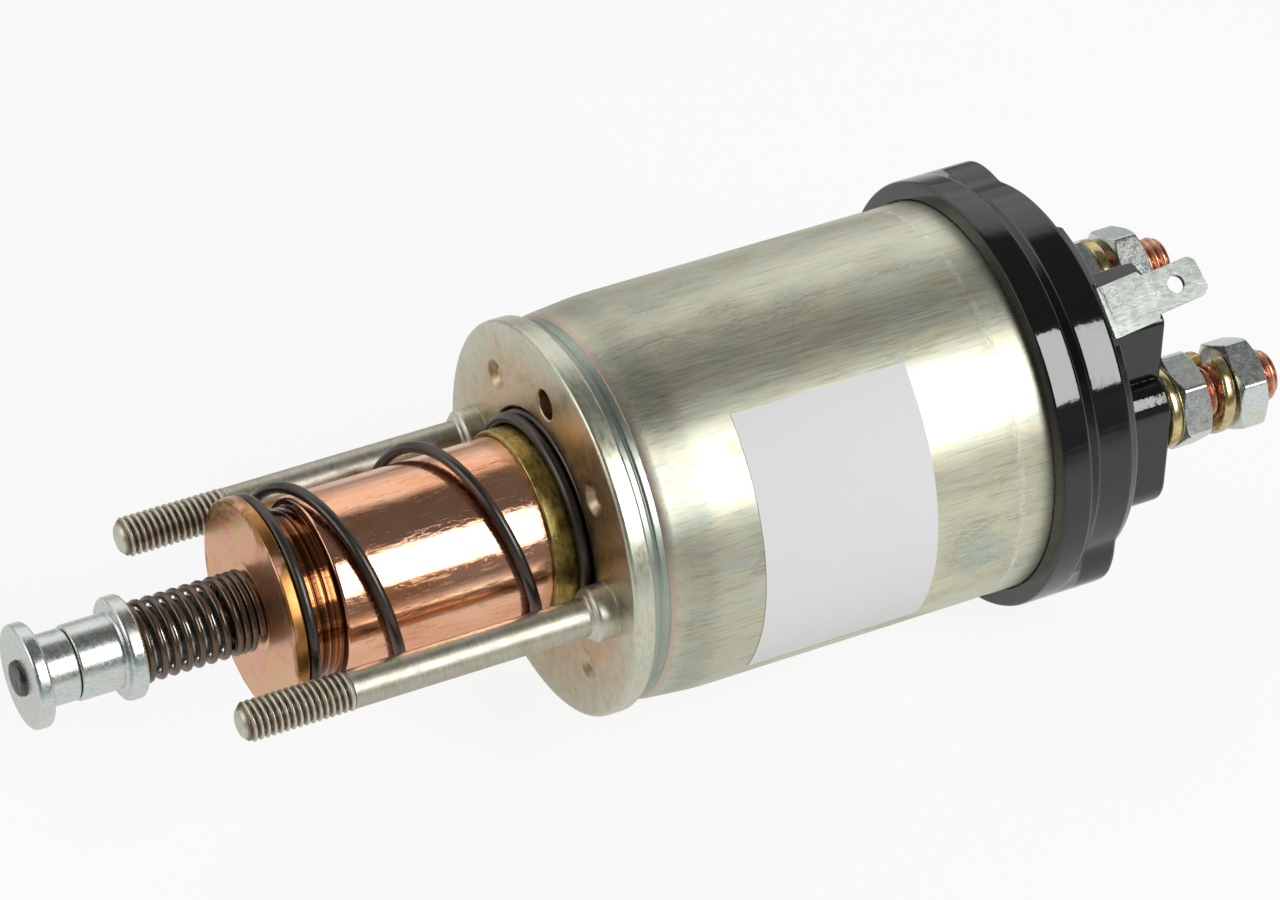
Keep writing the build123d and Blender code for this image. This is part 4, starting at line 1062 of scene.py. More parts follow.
@dataclass
class MountingStuds(Assembly):
    """The two long studs in the flange."""

    body: Body = Body.HOUSING
    spread: float = STUD_SPREAD
    reach: float = 57.8
    thread: float = 16.9
    pitch: float = 1.0
    depth: float = 0.55
    radius: float = 3.0
    shank: float = 2.84
    tip_length: float = 1.2
    tip_slope: float = 0.95
    collar: float = 4.15
    collar_length: float = 3.3
    tip_rows: tuple[Place, ...] = ((0.5, 0.1), (0.3, 0.45), (0.05, 0.8), (0.0, 0.95), (0.0, 1.6),
                                   (0.08, 1.85))
    neck_rows: tuple[Place, ...] = ((-6.0, 0.0), (-0.6, 0.0), (-0.5, 0.1))
    collar_rows: tuple[Place, ...] = ((-0.45, -0.95), (-0.3, -0.8), (0.0, -0.75), (0.05, -0.65),
                                      (0.2, -0.32), (0.45, -0.1), (0.8, 0.0))

    def rows(self) -> list[Row]:
        """Lists the rings of a stud, from its tip to the flange."""
        tip, collar = -self.reach, -self.collar_length
        thread_end = tip + self.thread

        def threaded(x: float) -> Row:
            """Returns a ring across the thread."""
            def at(angle: float) -> Place:
                """Returns the place of the ring's point at an angle."""
                fade = ease(x, thread_end + 0.4, thread_end - 0.9)
                cut = fade * thread_cut(x - tip, angle, self.pitch, self.depth)
                limit = self.radius - max(0.0, self.tip_length - (x - tip)) * self.tip_slope
                base = self.radius if x < thread_end else self.shank
                return x, min(base - cut, limit)
            return at

        steps = int(self.thread / self.pitch * THREAD_STEPS)
        rows = [plain(tip + back, radius) for back, radius in self.tip_rows]
        rows += [threaded(tip + 0.2 + (self.thread - 0.2) * step / steps) for step in range(steps + 1)]
        rows += [plain(thread_end + 0.1, self.shank + 0.05), plain(thread_end + 0.5, self.shank)]
        rows += [plain(collar + back, self.shank + rise) for back, rise in self.neck_rows]
        rows += [plain(collar + back, self.collar + rise) for back, rise in self.collar_rows]
        rows += [plain(-0.3, self.collar), plain(0.0, self.collar + 0.1), plain(0.4, self.collar)]
        return rows

    def build(self) -> None:
        """Adds both studs."""
        for side in Side:
            mesh = Workshop.ringed(self.rows(), 48)
            Workshop.moved(mesh, Matrix.Translation((0, side.value * self.spread / 2, 0)))
            self.show(f"mounting_stud_{side.name.lower()}", mesh, STUD_ZINC, "mounting_studs", sharp=50)


@dataclass
class PlungerSet(Assembly):
    """Plunger, spring plate, pull rod and head."""

    body: Body = Body.PLUNGER
    radius: float = 14.0
    shoulder: float = -44.4
    rear: float = 24.0
    neck_radius: float = 12.75
    neck_length: float = 6.9
    neck_rings: int = 3
    ring_width: float = 0.2
    ring_depth: float = 0.06
    plate_front: float = -46.4
    plate_radius: float = 16.2
    dish: tuple[float, float, float] = (5.6, 6.3, 7.2)
    dish_depth: float = 0.35
    rod_radius: float = 2.6
    rod_end: float = -82.7
    head_front: float = -81.9
    head_radius: float = 7.75
    head_thickness: float = 2.4
    neck_tube: float = 5.3
    tube_length: float = 4.9
    wire: float = 1.15
    spring_radius: float = 5.5
    spring_front: float = -65.15
    plate_turns: float = 3.0
    free_turns: float = 7.0
    end_turns: float = 0.5

    def plunger(self) -> BMesh:
        """Builds the plunger with the tool marks in its neck."""
        start = self.shoulder
        neck_end = start + self.neck_length
        corners = [Corner(start, 0), Corner(start, self.neck_radius)]
        for number in range(self.neck_rings):
            x = start + (number + 1) * self.neck_length / (self.neck_rings + 1)
            corners += [Corner(x + shift, self.neck_radius - depth, 0.05) for shift, depth in (
                (-self.ring_width, 0.0), (0.0, self.ring_depth), (self.ring_width, 0.0))]
        corners += [Corner(neck_end, self.neck_radius, 0.3), Corner(neck_end, self.radius, 0.5, 5),
                    Corner(self.rear, self.radius, 0.6), Corner(self.rear, 0)]
        return Workshop.turned(corners, segments=192)

    def plate(self) -> BMesh:
        """Builds the spring plate, dished round the staked centre."""
        front = self.plate_front
        return Workshop.turned([
            Corner(front, 0), Corner(front, self.dish[0], 0.4),
            Corner(front + self.dish_depth, self.dish[1], 0.3), Corner(front, self.dish[2], 0.4),
            Corner(front, self.plate_radius, 0.35),
            Corner(self.shoulder, self.plate_radius, 0.35), Corner(self.shoulder, 0),
        ], segments=160)

    def head(self) -> BMesh:
        """Builds the head disc and its neck."""
        front = self.head_front
        rear = front + self.head_thickness
        end = rear + self.tube_length
        return Workshop.turned([
            Corner(front, self.rod_radius, 0.2), Corner(front, self.head_radius, 0.6, 6),
            Corner(rear, self.head_radius, 0.6, 6), Corner(rear, self.neck_tube, 0.4),
            Corner(end, self.neck_tube, 0.35), Corner(end, self.rod_radius),
        ], closed=True, segments=128)

    def rod(self) -> BMesh:
        """Builds the pull rod with its peened end."""
        return Workshop.turned([
            Corner(self.rod_end, 0), Corner(self.rod_end, self.rod_radius, 0.45, 6),
            Corner(self.shoulder, self.rod_radius), Corner(self.shoulder, 0),
        ], segments=64)

    def spring(self) -> BMesh:
        """Builds the collar spring, with closed turns at both ends."""
        turns = self.end_turns + self.free_turns + self.plate_turns
        length = self.plate_front - self.spring_front - self.wire
        free = length - (self.end_turns + self.plate_turns) * self.wire

        def place(step: int) -> Point:
            """Returns the middle of the wire at a step."""
            turn = step / COIL_STEPS
            closed = min(turn, self.end_turns)
            opened = min(max(turn - self.end_turns, 0.0), self.free_turns)
            last = max(turn - self.end_turns - self.free_turns, 0.0)
            x = self.spring_front + (0.5 + closed + last) * self.wire + opened * free / self.free_turns
            return x, self.spring_radius, FULL_TURN * turn

        return Workshop.wound(self.wire, round(turns * COIL_STEPS), 12, place)

    def build(self) -> None:
        """Adds the plunger's pieces and the spring towards the collar."""
        self.show("plunger_body", self.plunger(), PLUNGER_COPPER, "plunger")
        self.show("spring_disc", self.plate(), PLATE_COPPER, "spring_plate")
        self.show("head_disc", self.head(), BRIGHT_ZINC, "rod_head")
        self.show("rod_pin", self.rod(), ROD_STEEL, "pull_rod")
        spring = self.show("collar_coil", self.spring(), DARK_SPRING, "collar_spring",
                           sharp=COIL_SHARP, rides=False)
        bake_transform(spring)


@dataclass
class ReturnSpring(Assembly):
    """The wide spring between the flange and the spring plate."""

    body: Body = Body.HOUSING
    wire: float = 1.75
    radius: float = 15.4
    flare: float = 0.6
    front: float = -44.4
    seat: float = 2.0
    shares: tuple[float, ...] = (0.1, 2.4, 10.6, 10.2, 11.5, 7.2, 0.9, 0.9, 0.9)

    def coil(self) -> BMesh:
        """Builds the spring with a share of its length for each half turn."""
        steps_per_half = 24
        halves = len(self.shares)
        length = self.seat - self.front - self.wire
        total = sum(self.shares)

        def place(step: int) -> Point:
            """Returns the middle of the wire at a step."""
            half = step / steps_per_half
            done = sum(share * min(max(half - number, 0.0), 1.0)
                       for number, share in enumerate(self.shares))
            x = self.front + self.wire / 2 + length * done / total
            return x, self.radius + self.flare * half / halves, FULL_TURN / 2 * half

        return Workshop.wound(self.wire, steps_per_half * halves, 16, place)

    def build(self) -> None:
        """Adds the spring."""
        spring = self.show("return_coil", self.coil(), BLACK_SPRING, "return_spring",
                           sharp=COIL_SHARP, rides=False)
        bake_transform(spring)


@dataclass
class Collar(Assembly):
    """The collar that slides on the pull rod."""

    body: Body = Body.COLLAR
    front: float = -74.5
    tube_length: float = 6.85
    tube_radius: float = 5.6
    flange_radius: float = 7.65
    flange_thickness: float = 2.5
    nose_radius: float = 4.5
    nose_length: float = 13.0
    bore: float = 2.68

    def collar(self) -> BMesh:
        """Builds the collar."""
        flange = self.front + self.tube_length
        rear = flange + self.flange_thickness
        return Workshop.turned([
            Corner(self.front, self.bore), Corner(self.front, self.tube_radius, 0.35),
            Corner(flange, self.tube_radius, 0.4), Corner(flange, self.flange_radius, 0.6, 6),
            Corner(rear, self.flange_radius, 0.6, 6), Corner(rear, self.nose_radius, 0.2),
            Corner(rear + self.nose_length, self.nose_radius, 0.3),
            Corner(rear + self.nose_length, self.bore),
        ], closed=True, segments=128)

    def build(self) -> None:
        """Adds the collar."""
        self.show("fork_collar", self.collar(), BRIGHT_ZINC, "sliding_collar")


@dataclass
class ContactSpring(Assembly):
    """A small spring of even pitch on the contact rod; the sizes are those of the return spring."""

    body: Body = Body.CONTACT_ROD
    rear_body: Body = Body.HOUSING
    name: str = "homing_coil"
    node: str = "contact_return_spring"
    front: float = 76.2
    rear: float = 87.5
    turns: int = 5
    radius: float = 3.3
    wire: float = 0.7

    def coil(self) -> BMesh:
        """Builds the spring."""
        steps = COIL_STEPS * self.turns
        length = self.rear - self.front - self.wire

        def place(step: int) -> Point:
            """Returns the middle of the wire at a step."""
            done = step / steps
            x = self.front + self.wire / 2 + length * done
            return x, self.radius, FULL_TURN * self.turns * done

        return Workshop.wound(self.wire, steps, 12, place)

    def build(self) -> None:
        """Adds the spring."""
        spring = self.show(self.name, self.coil(), DARK_SPRING, self.node, sharp=COIL_SHARP,
                           rides=False)
        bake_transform(spring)


@dataclass
class Cap(Assembly):
    """The moulded terminal cap."""

    body: Body = Body.HOUSING
    turn: float = CAP_TURN
    rim_radius: float = 33.0
    body_radius: float = 30.0
    bore: float = 30.3
    spigot_front: float = 64.5
    spigot_radius: float = 27.8
    shoulder: float = 71.7
    chamber_radius: float = 25.3
    chamber_rear: float = 79.5
    floor_radius: float = 20.0
    pocket_radius: float = 4.6
    pocket_end: float = 87.5
    front: float = 68.7
    rim_rear: float = 73.3
    cone_rear: float = 76.4
    rear: float = CAP_REAR
    lobe_angles: tuple[float, float] = (45.0, 225.0)
    lobe_radius: float = 12.0
    lobe_circle: float = 21.5
    lobe_round: float = 1.2
    body_round: float = 0.9
    overlap: float = 0.5
    fillet: float = 2.4
    pad_thickness: float = 1.2
    pad_inner: float = 22.8
    pad_spans: tuple[tuple[float, float], ...] = ((97, 118.5), (137.5, 206), (277, 386))
    block_rear: float = 93.95
    block_half_width: float = 21.5
    block_top: float = 7.3
    block_bottom: float = -16.0
    support_near: float = -17.2
    support_far: float = -6.5
    support_top: float = 21.6
    blade_angle: float = 128.0
    blade_back: float = 24.4

    def lobe_share(self, angle: float) -> float:
        """Returns how far the cap's side stands out to the rim at an angle, from 0 to 1."""
        share = 0.0
        for middle in self.lobe_angles:
            off = math.radians((angle - middle + 180) % 360 - 180)
            reach = self.lobe_radius**2 - (self.lobe_circle * math.sin(off))**2
            if reach > 0 and abs(off) < math.pi / 2:
                radius = self.lobe_circle * math.cos(off) + math.sqrt(reach)
                share = max(share, (radius - self.body_radius) / (self.rim_radius - self.body_radius))
        return min(max(share, 0.0), 1.0)

    def smooth_share(self, angle: float) -> float:
        """Returns the lobes' share, averaged over a small arc so that they run out softly."""
        arc = math.degrees(self.fillet / self.body_radius)
        offsets = [arc * (number / 4 - 1) / 2 for number in range(9)]
        return sum(self.lobe_share(angle + offset) for offset in offsets) / len(offsets)

    def shell(self) -> BMesh:
        """Builds the spigot, the rim, the cone, the body with its lobes and the hollow inside."""
        rim, body = self.rim_radius, self.body_radius
        front, rear, cone = self.front, self.rim_rear, self.cone_rear
        # Each station has (x, radius) beside the lobes and the same on them.
        stations: list[tuple[Place, Place]] = [(place, place) for place in (
            (self.spigot_front, self.chamber_radius), (self.spigot_front, self.spigot_radius),
            (self.shoulder, self.spigot_radius), (self.shoulder, self.bore), (front, self.bore),
            (front, rim - 0.5), (front + 0.15, rim - 0.15), (front + 0.5, rim), (rear - 0.3, rim))]
        stations += [
            ((rear, rim - 0.08), (rear, rim)), ((rear + 0.25, rim - 0.3), (rear + 0.3, rim)),
            ((cone - 0.3, body + 0.28), (cone - 0.3, rim)), ((cone, body + 0.06), (cone, rim)),
            ((cone + 0.4, body), (cone + 0.4, rim))]
        steps = 8
        for step in range(steps + 1):
            out, back = polar(1, 90 * step / steps)
            stations.append(tuple(
                (self.rear - width + width * back, radius - width + width * out)
                for radius, width in ((body, self.body_round), (rim, self.lobe_round))))
        stations += [(place, place) for place in (
            (self.rear, self.floor_radius), (self.rear, self.pocket_radius),
            (self.chamber_rear, self.pocket_radius), (self.chamber_rear, self.chamber_radius))]

        def row(beside: Place, lobe: Place) -> Row:
            """Returns a ring that runs from the body's outline to the lobes'."""
            def at(angle: float) -> Place:
                """Returns the place of the ring's point at an angle."""
                share = self.smooth_share(angle)
                x, radius = (low + (high - low) * share for low, high in zip(beside, lobe))
                return x, radius
            return at

        return Workshop.ringed([row(*station) for station in stations], FULL_TURN, closed=True)

    def pad(self, start: float, end: float) -> BMesh:
        """Builds one raised pad between two angles along the rear edge."""
        rear = self.rear + self.pad_thickness
        foot = self.rear - self.overlap
        return Workshop.swept([
            Corner(foot, self.pad_inner), Corner(rear, self.pad_inner, 0.2),
            Corner(rear, self.body_radius - 1.0, 0.7, 6), Corner(foot, self.body_radius - 0.12),
        ], (start, end), max(4, round((end - start) / 2)))

    def upright(self, mesh: BMesh, x: float) -> BMesh:
        """Stands a slab on the cap's rear, its own X along Y and its own Y along Z."""
        return Workshop.moved(mesh, Matrix(((0, 0, 1, x), (1, 0, 0, 0), (0, 1, 0, 0), (0, 0, 0, 1))))

    def block(self) -> BMesh:
        """Builds the raised block that carries both studs, with the rod's blind pocket in its front."""
        half = self.block_half_width
        mesh = Workshop.slab([
            Corner(-half, self.block_bottom, 6.0, 8), Corner(half, self.block_bottom, 6.0, 8),
            Corner(half, self.block_top, 5.0, 8), Corner(-half, self.block_top, 5.0, 8),
        ], self.block_rear - self.rear + self.overlap, 0.6)
        front = min(mesh.faces, key=lambda face: face.calc_center_median().z)
        mouth = Workshop.circle(mesh, self.pocket_radius, HOLE_STEPS, Matrix())
        Workshop.opened(mesh, [front], [mouth])
        Workshop.sunk(mesh, mouth, (0, 0, self.pocket_end - self.rear + self.overlap))
        return self.upright(Workshop.outwards(mesh), self.rear - self.overlap)

    def support(self) -> BMesh:
        """Builds the block behind the blade, its corner cut along the blade."""
        cos, sin = polar(1, self.blade_angle)
        low = (self.blade_back - self.support_near * cos) / sin
        across = (self.blade_back - self.support_top * sin) / cos
        mesh = Workshop.slab([
            Corner(self.support_near, 0.0), Corner(self.support_far, 0.0),
            Corner(self.support_far, self.support_top, 0.8), Corner(across, self.support_top, 0.6),
            Corner(self.support_near, low, 0.6),
        ], self.block_rear - self.rear + self.overlap, 0.4)
        return self.upright(mesh, self.rear - self.overlap)

    def build(self) -> None:
        """Adds the cap."""
        pads = [self.pad(*span) for span in self.pad_spans]
        whole = Workshop.joined(self.shell(), *pads, self.block(), self.support())
        self.show("cap_moulding", whole, CAP_BLACK, "terminal_cap", sharp=32)


@dataclass
class Terminal(Assembly):
    """One copper stud with its washers and nuts.

    Args:
        side: The side that it stands on.
        lock_turn: Angle of a corner of the nut on the cap.
        cable_turn: Angle of a corner of the nut for the cable.
        gap: Room between the two nuts.
        slot_angle: Angle of the slot in the split washer.
    """

    body: Body = Body.HOUSING
    turn: float = CAP_TURN
    side: Side = Side.NEAR
    lock_turn: float = 0.0
    cable_turn: float = 0.0
    gap: float = 4.9
    slot_angle: float = 86.7
    spread: float = TERMINAL_SPREAD
    radius: float = 4.0
    pitch: float = 1.25
    depth: float = 0.62
    foot: float = 93.95
    foot_radius: float = 3.0
    end_radii: Place = (2.9, 2.2)
    tip: float = 114.35
    tip_length: float = 0.9
    tip_slope: float = 0.9
    washer: float = 2.1
    washer_radius: float = 6.5
    hole: float = 4.15
    flats: float = 13.0
    nut: float = 4.9
    nut_face: float = 0.95
    nut_land: float = 0.12
    nut_slope: float = 30.0
    nut_softness: int = 70
    slot: float = 14.0
    chamfer: tuple[float, ...] = (0.0, 0.06, 0.12, 0.18, 0.25, 0.32, 0.4, 0.5, 0.62, 0.75)

    def stud(self) -> BMesh:
        """Builds the threaded stud."""
        def threaded(x: float) -> Row:
            """Returns a ring across the thread."""
            def at(angle: float) -> Place:
                """Returns the place of the ring's point at an angle."""
                cut = thread_cut(x - self.foot, angle, self.pitch, self.depth)
                limit = self.radius - max(0.0, self.tip_length - (self.tip - x)) * self.tip_slope
                return x, min(self.radius - cut, limit)
            return at

        length = self.tip - self.foot - 0.1
        steps = int(length / self.pitch * THREAD_STEPS)
        rows = [plain(self.foot - 0.5, self.foot_radius)]
        rows += [threaded(self.foot + length * step / steps) for step in range(steps + 1)]
        rows += [plain(self.tip, radius) for radius in self.end_radii]
        return Workshop.ringed(rows, 64)

    def flat_washer(self) -> BMesh:
        """Builds the rounded washer on the cap."""
        return Workshop.turned([
            Corner(self.foot, self.hole, 0.3), Corner(self.foot, self.washer_radius, 0.8, 6),
            Corner(self.foot + self.washer, self.washer_radius, 0.8, 6),
            Corner(self.foot + self.washer, self.hole, 0.3),
        ], closed=True, segments=96)

    def split_washer(self) -> BMesh:
        """Builds the split washer, wound from the cable nut to the nut on the cap."""
        high = self.foot + self.washer + self.nut + self.gap
        low = high - self.washer
        first = self.slot_angle + self.slot / 2
        steps = 90
        return Workshop.swept([
            Corner(low, self.hole, 0.5), Corner(high, self.hole, 0.5),
            Corner(high, self.washer_radius, 0.65), Corner(low, self.washer_radius, 0.65),
        ], (first, first + FULL_TURN - self.slot), steps, (self.washer - self.gap) / steps)

    def hexagon(self, angle: float, turn: float) -> float:
        """Returns the radius of the softly cornered hexagon at an angle."""
        power = self.nut_softness
        sides = [math.cos(math.radians(angle - turn - middle)) for middle in range(30, FULL_TURN, 60)]
        return self.flats / 2 / sum(max(side, 0.0)**power for side in sides)**(1 / power)

    def hex_nut(self, front: float, turn: float) -> BMesh:
        """Builds a nut with both ends chamfered."""
        rear = front + self.nut
        middle = (front + rear) / 2
        face = self.nut_face * self.flats / 2
        reach = face + self.nut_land
        slope = math.tan(math.radians(self.nut_slope))

        def side(x: float) -> Row:
            """Returns a ring on the flats, cut by the chamfer."""
            from_end = self.nut / 2 - abs(x - middle)
            return lambda angle: (x, min(self.hexagon(angle, turn), reach + from_end / slope))

        hole = self.radius
        rows = [plain(front + 0.5, hole), plain(front, hole + 0.5), plain(front, face - 0.2)]
        rows += [side(front + step) for step in self.chamfer]
        rows += [side(rear - step) for step in reversed(self.chamfer)]
        rows += [plain(rear, face - 0.2), plain(rear, hole + 0.5), plain(rear - 0.5, hole)]
        return Workshop.ringed(rows, 180, closed=True)

    def build(self) -> None:
        """Adds the stud and its hardware."""
        where = Matrix.Translation((0, self.side.value * self.spread / 2, 0))
        tag = self.side.name.lower()
        lock_nut = self.foot + self.washer
        cable_nut = lock_nut + self.nut + self.gap
        stud_node = "motor_terminal_stud" if self.side is Side.FAR else "battery_terminal_stud"
        pieces: list[tuple[str, BMesh, Finish, str]] = [
            (f"copper_stud_{tag}", self.stud(), TERMINAL_COPPER, stud_node),
            (f"cap_washer_{tag}", self.flat_washer(), YELLOW_ZINC, "terminal_lock_washers"),
            (f"lock_nut_{tag}", self.hex_nut(lock_nut, self.lock_turn), BRIGHT_ZINC,
             "terminal_lock_nuts"),
            (f"split_washer_{tag}", self.split_washer(), YELLOW_ZINC, "cable_split_washers"),
            (f"cable_nut_{tag}", self.hex_nut(cable_nut, self.cable_turn), BRIGHT_ZINC, "cable_nuts"),
        ]
        for name, mesh, finish, node in pieces:
            self.show(name, Workshop.moved(mesh, where), finish, node, sharp=38)


@dataclass
class Blade(Assembly):
    """The blade terminal of the control wire."""

    body: Body = Body.HOUSING
    turn: float = CAP_TURN
    angle: float = 127.2
    offset: float = 27.6
    foot_offset: float = 25.0
    thickness: float = 0.8
    wide: float = 8.0
    narrow: float = 6.3
    wide_length: float = 6.9
    step: float = 0.5
    length: float = 16.5
    lean: float = 6.0
    hole: float = 1.4
    hole_from_tip: float = 4.6
    tip_chamfer: float = 0.9
    tip_bevel: float = 0.7
    tip_edge: float = 0.4
    rear: float = CAP_REAR
    bend: float = 0.8
    outer_bend: float = 0.79
    inner_bend: float = 0.3
    edge: float = 0.08
    tail: float = 4.6

    def blade(self) -> BMesh:
        """Builds the bent foot and the leaning blade with its latch hole."""
        half = self.thickness / 2
        foot = self.rear + self.bend
        neck = foot + self.bend
        start = self.rear - self.tail
        inner, outer = self.foot_offset, self.offset
        bent = Workshop.slab([
            Corner(start, inner - half), Corner(foot + half, inner - half, self.outer_bend, 12),
            Corner(foot + half, outer - half, self.inner_bend, 3), Corner(neck + 0.4, outer - half),
            Corner(neck + 0.4, outer + half), Corner(foot - half, outer + half, self.outer_bend, 12),
            Corner(foot - half, inner + half, self.inner_bend, 3), Corner(start, inner + half),
        ], self.wide, self.edge)
        cos, sin = polar(1, self.angle)
        # The slab's own X runs along the axis, its Y away from it and its Z across the blade.
        to_side = Matrix(((1, 0, 0, 0), (0, cos, sin, -sin * self.wide / 2),
                          (0, sin, -cos, cos * self.wide / 2), (0, 0, 0, 1)))
        Workshop.moved(bent, to_side)
        wide, narrow, tip = self.wide / 2, self.narrow / 2, self.length
        corner = self.tip_chamfer
        shoulder = self.wide_length + self.step
        edge = [(0, wide, 0.0), (self.wide_length, wide, 0.3), (shoulder, narrow, 0.2),
                (tip - corner, narrow, 0.35), (tip, narrow - corner, 0.35)]
        outline = [Corner(x, -y, cut) for x, y, cut in edge]
        outline += [Corner(x, y, cut) for x, y, cut in reversed(edge)]
        flat = Workshop.slab(outline, self.thickness, holes=[(tip - self.hole_from_tip, 0, self.hole)])
        bmesh.ops.bisect_plane(flat, geom=flat.verts[:] + flat.edges[:] + flat.faces[:], dist=NEAR_ZERO,
                               plane_co=(tip - self.tip_bevel, 0, 0), plane_no=(1, 0, 0))
        for point in flat.verts:
            past = max(0.0, point.co.x - tip + self.tip_bevel) / self.tip_bevel
            point.co.z += (half - point.co.z) * past * (1 - 2 * self.tip_edge / self.thickness)
        Workshop.soften(flat, self.edge, 30.0, 2)
        turned = Matrix.Rotation(math.radians(self.lean), 4, "Z") @ Matrix.Translation((0, 0, -half))
        to_foot = Matrix(((1, 0, 0, 0), (0, sin, cos, cos * outer), (0, -cos, sin, sin * outer),
                          (0, 0, 0, 1)))
        Workshop.moved(flat, Matrix.Translation((neck, 0, 0)) @ to_foot @ turned)
        return Workshop.joined(bent, flat)

    def build(self) -> None:
        """Adds the blade."""
        mesh = Workshop.outwards(self.blade())
        self.show("spade_blade", mesh, BLADE_TIN, "blade_terminal", sharp=7.6)


@dataclass(frozen=True)
class Lamp:
    """A soft box that faces the plunger axis; its lengths are in metres.

    Args:
        name: Name of the lamp.
        place: Where it stands.
        size: Its width and height.
        radiance: How bright its face looks.
        aim: Place along the axis that it faces.
    """

    name: str
    place: Point
    size: Place
    radiance: float
    aim: float = 0.0

    def build(self) -> None:
        """Adds the lamp."""
        data = bpy.data.lights.new(self.name, "AREA")
        data.shape = "RECTANGLE"
        data.size, data.size_y = self.size
        data.energy = self.radiance * math.pi * self.size[0] * self.size[1]
        lamp = bpy.data.objects.new(self.name, data)
        lamp.location = self.place
        back = Vector(self.place) - Vector((self.aim, 0, 0))
        lamp.rotation_euler = back.to_track_quat("Z", "Y").to_euler()
        bpy.context.scene.collection.objects.link(lamp)


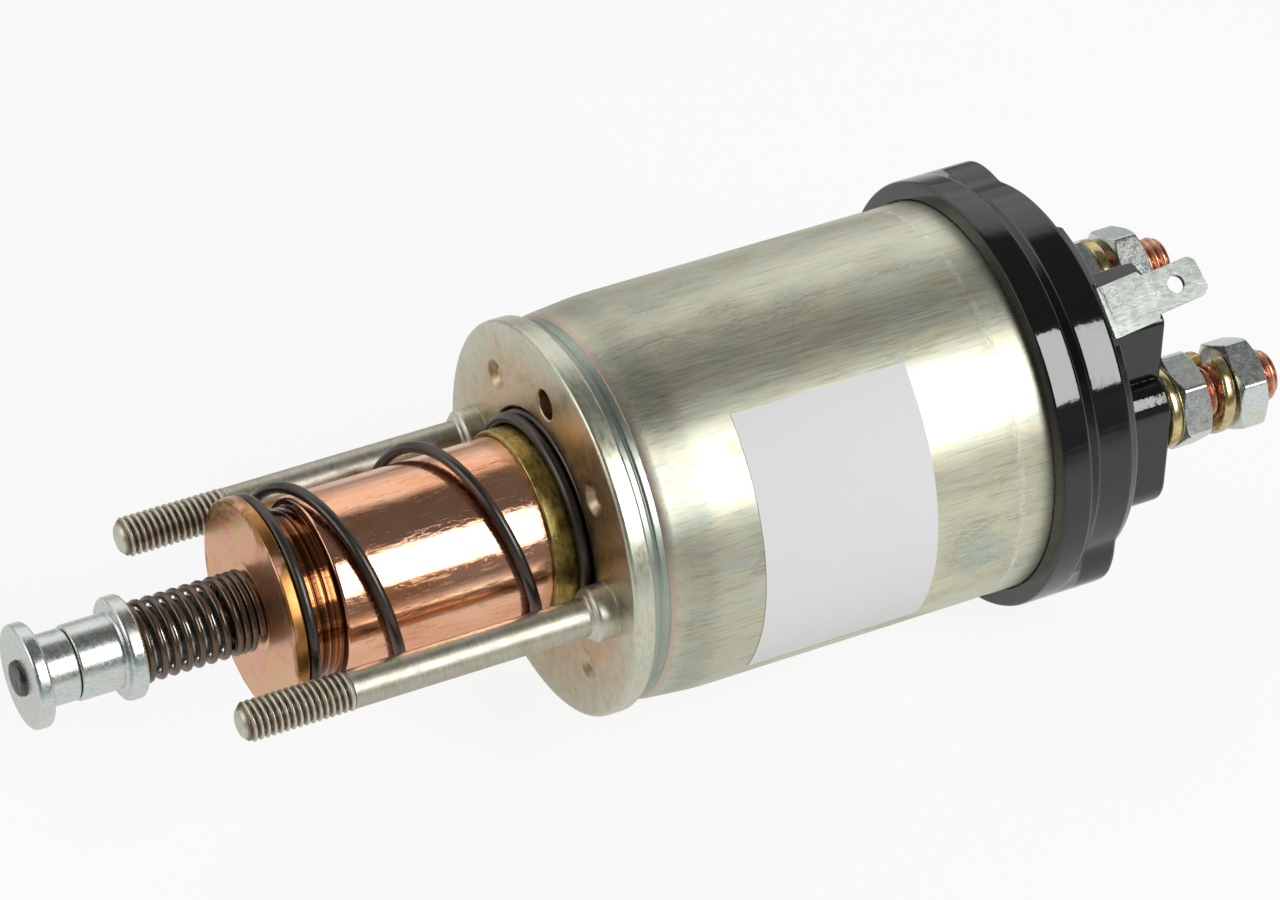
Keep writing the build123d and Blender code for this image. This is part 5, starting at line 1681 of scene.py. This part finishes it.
@dataclass
class Studio:
    """Floor, light and camera.

    Args:
        azimuth: Angle of the view about Z.
        elevation: Angle of the view above the floor.
        roll: Turn of the picture.
        distance: From the aimed point to the camera, in millimetres.
        shift: How far the aimed point lies right of and above the origin in the picture.
        focal: Focal length in pixels of the picture.
        picture: Width of the picture in pixels.
        sensor: Width of the camera's sensor.
        floor: Height of the floor.
        floor_size: Half of the floor's width, in metres.
        light_pool_fade: Distances in metres over which the painted pool of light on the floor fades out.
        floor_light_pool: Whiteness of the floor near the object and far from it, a painted pool of light
            round the object.
        floor_seen: Share of the floor's colour that glows for the camera.
        floor_shine: The same share for reflections on the object, scaled by the painted pool of light.
        room_light: Brightness of the room, from the far side (0) over the top to the near side (1).
        lamps: The soft boxes.
    """

    azimuth: float = -29.7156
    elevation: float = 41.0999
    roll: float = 3.8087
    distance: float = 895.26
    shift: tuple[float, float] = (14.3463, 10.1437)
    focal: float = 6158.35
    picture: float = 1280.0
    sensor: float = 36.0
    floor: float = -33.1
    floor_size: float = 3.0
    light_pool_fade: tuple[float, float] = (0.20, 0.45)
    floor_light_pool: tuple[float, float] = (0.95, 0.35)
    floor_seen: float = 0.88
    floor_shine: float = 0.4
    room_light: tuple[Place, ...] = ((0.0, 0.5), (0.06, 0.6), (0.09, 0.9), (0.27, 0.9), (0.33, 0.14),
                                     (0.64, 0.12), (0.87, 0.12), (0.90, 0.25), (1.0, 0.2))
    lamps: tuple[Lamp, ...] = (Lamp("near_box", (0.34, -0.58, 0.55), (0.34, 0.53), 8.0, 0.34),
                               Lamp("back_box", (0.1, 0.75, 0.62), (1.4, 0.5), 0.15),
                               Lamp("left_box", (-0.80, 0.10, 0.42), (0.6, 0.5), 1.8))

    def camera(self) -> None:
        """Adds the camera at the photograph's angle."""
        turn, rise, roll = (math.radians(value) for value in (self.azimuth, self.elevation, self.roll))
        level = math.cos(rise)
        back = Vector((math.sin(turn) * level, -math.cos(turn) * level, math.sin(rise)))
        right = Vector((math.cos(turn), math.sin(turn), 0))
        up = back.cross(right)
        across = math.cos(roll) * right + math.sin(roll) * up
        above = math.cos(roll) * up - math.sin(roll) * right
        target = self.shift[0] * across + self.shift[1] * above
        data = bpy.data.cameras.new("camera")
        data.lens = self.focal / self.picture * self.sensor
        data.sensor_width = self.sensor
        data.sensor_fit = "HORIZONTAL"
        data.clip_start = 0.05
        camera = bpy.data.objects.new("camera", data)
        turned = Matrix((across, above, back)).transposed().to_4x4()
        camera.matrix_world = Matrix.Translation(METRES * (target + self.distance * back)) @ turned
        bpy.context.scene.collection.objects.link(camera)
        bpy.context.scene.camera = camera

    def world(self) -> None:
        """Adds the room: white to the camera, darker overhead and near the floor line to the object."""
        room = bpy.data.worlds.new("room")
        shader = Shader(room)
        parts = shader.parts(shader.texture.outputs["Generated"])
        turn = shader.calc("DIVIDE", shader.calc("ARCTAN2", parts["Z"], parts["Y"]), math.pi)
        light = shader.ramp(turn, [(position, (value,) * 3) for position, value in self.room_light])
        shader.set(Color=shader.mix(shader.rays("Is Camera Ray"), light, WHITE), Strength=1.0)
        bpy.context.scene.world = room

    def ground(self) -> None:
        """Adds the floor, which is nearly white to the camera, keeps the object's shadow and carries a
        painted pool of light.
        """
        mesh = bmesh.new()
        bmesh.ops.create_grid(mesh, x_segments=1, y_segments=1, size=self.floor_size)
        data = bpy.data.meshes.new("floor")
        mesh.to_mesh(data)
        mesh.free()
        floor = bpy.data.objects.new("floor", data)
        floor.location = (0, 0, self.floor * METRES)
        material = bpy.data.materials.new("floor")
        shader = Shader(material)
        # Painted light: the floor is whiter near the object, a pool of light, and glows with it in
        # reflections.
        white = shader.remap(shader.length(shader.place), *self.floor_light_pool, *self.light_pool_fade)
        shader.set(Base_Color=white, Roughness=0.9, Specular_IOR_Level=0.1)
        seen = shader.times(shader.rays("Is Camera Ray"), self.floor_seen)
        shine = shader.times(shader.times(white, self.floor_shine), shader.rays("Is Glossy Ray"))
        mixed = shader.add("ShaderNodeMixShader", {
            "Fac": shader.calc("ADD", seen, shine), 1: shader.surface.outputs["BSDF"],
            2: shader.add("ShaderNodeEmission").outputs["Emission"],
        }).outputs["Shader"]
        shader.fill(shader.tree.nodes["Material Output"].inputs["Surface"], mixed)
        data.materials.append(material)
        bpy.context.scene.collection.objects.link(floor)

    def build(self) -> None:
        """Adds everything round the object."""
        self.ground()
        self.world()
        for lamp in self.lamps:
            lamp.build()
        self.camera()
        bpy.context.scene.view_settings.view_transform = "Standard"


def dress_hidden_nodes() -> None:
    """Gives the solids inside the can and cap their finishes."""
    for node, finish in HIDDEN_FINISHES.items():
        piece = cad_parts[node]
        piece.data.materials.clear()
        piece.data.materials.append(Paint.of(finish))


def main() -> None:
    """Builds the solenoid around its frame."""
    logging.basicConfig(level=logging.INFO, format="%(name)s %(message)s")
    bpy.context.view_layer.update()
    dress_hidden_nodes()
    assemblies = [
        Housing(), MountingStuds(), PlungerSet(), ReturnSpring(), Collar(), Cap(), ContactSpring(),
        ContactSpring(rear_body=Body.CONTACT_BRIDGE, name="contact_coil", node="contact_spring",
                      front=65.5, rear=70.2, turns=3, radius=3.9, wire=0.9),
        Terminal(side=Side.FAR, lock_turn=20.0, cable_turn=35.7, gap=3.5, slot_angle=150.0),
        Terminal(side=Side.NEAR, lock_turn=9.7, cable_turn=26.7, gap=4.9), Blade(),
    ]
    for assembly in assemblies:
        assembly.build()
    Studio().build()


if __name__ == "__main__":
    main()
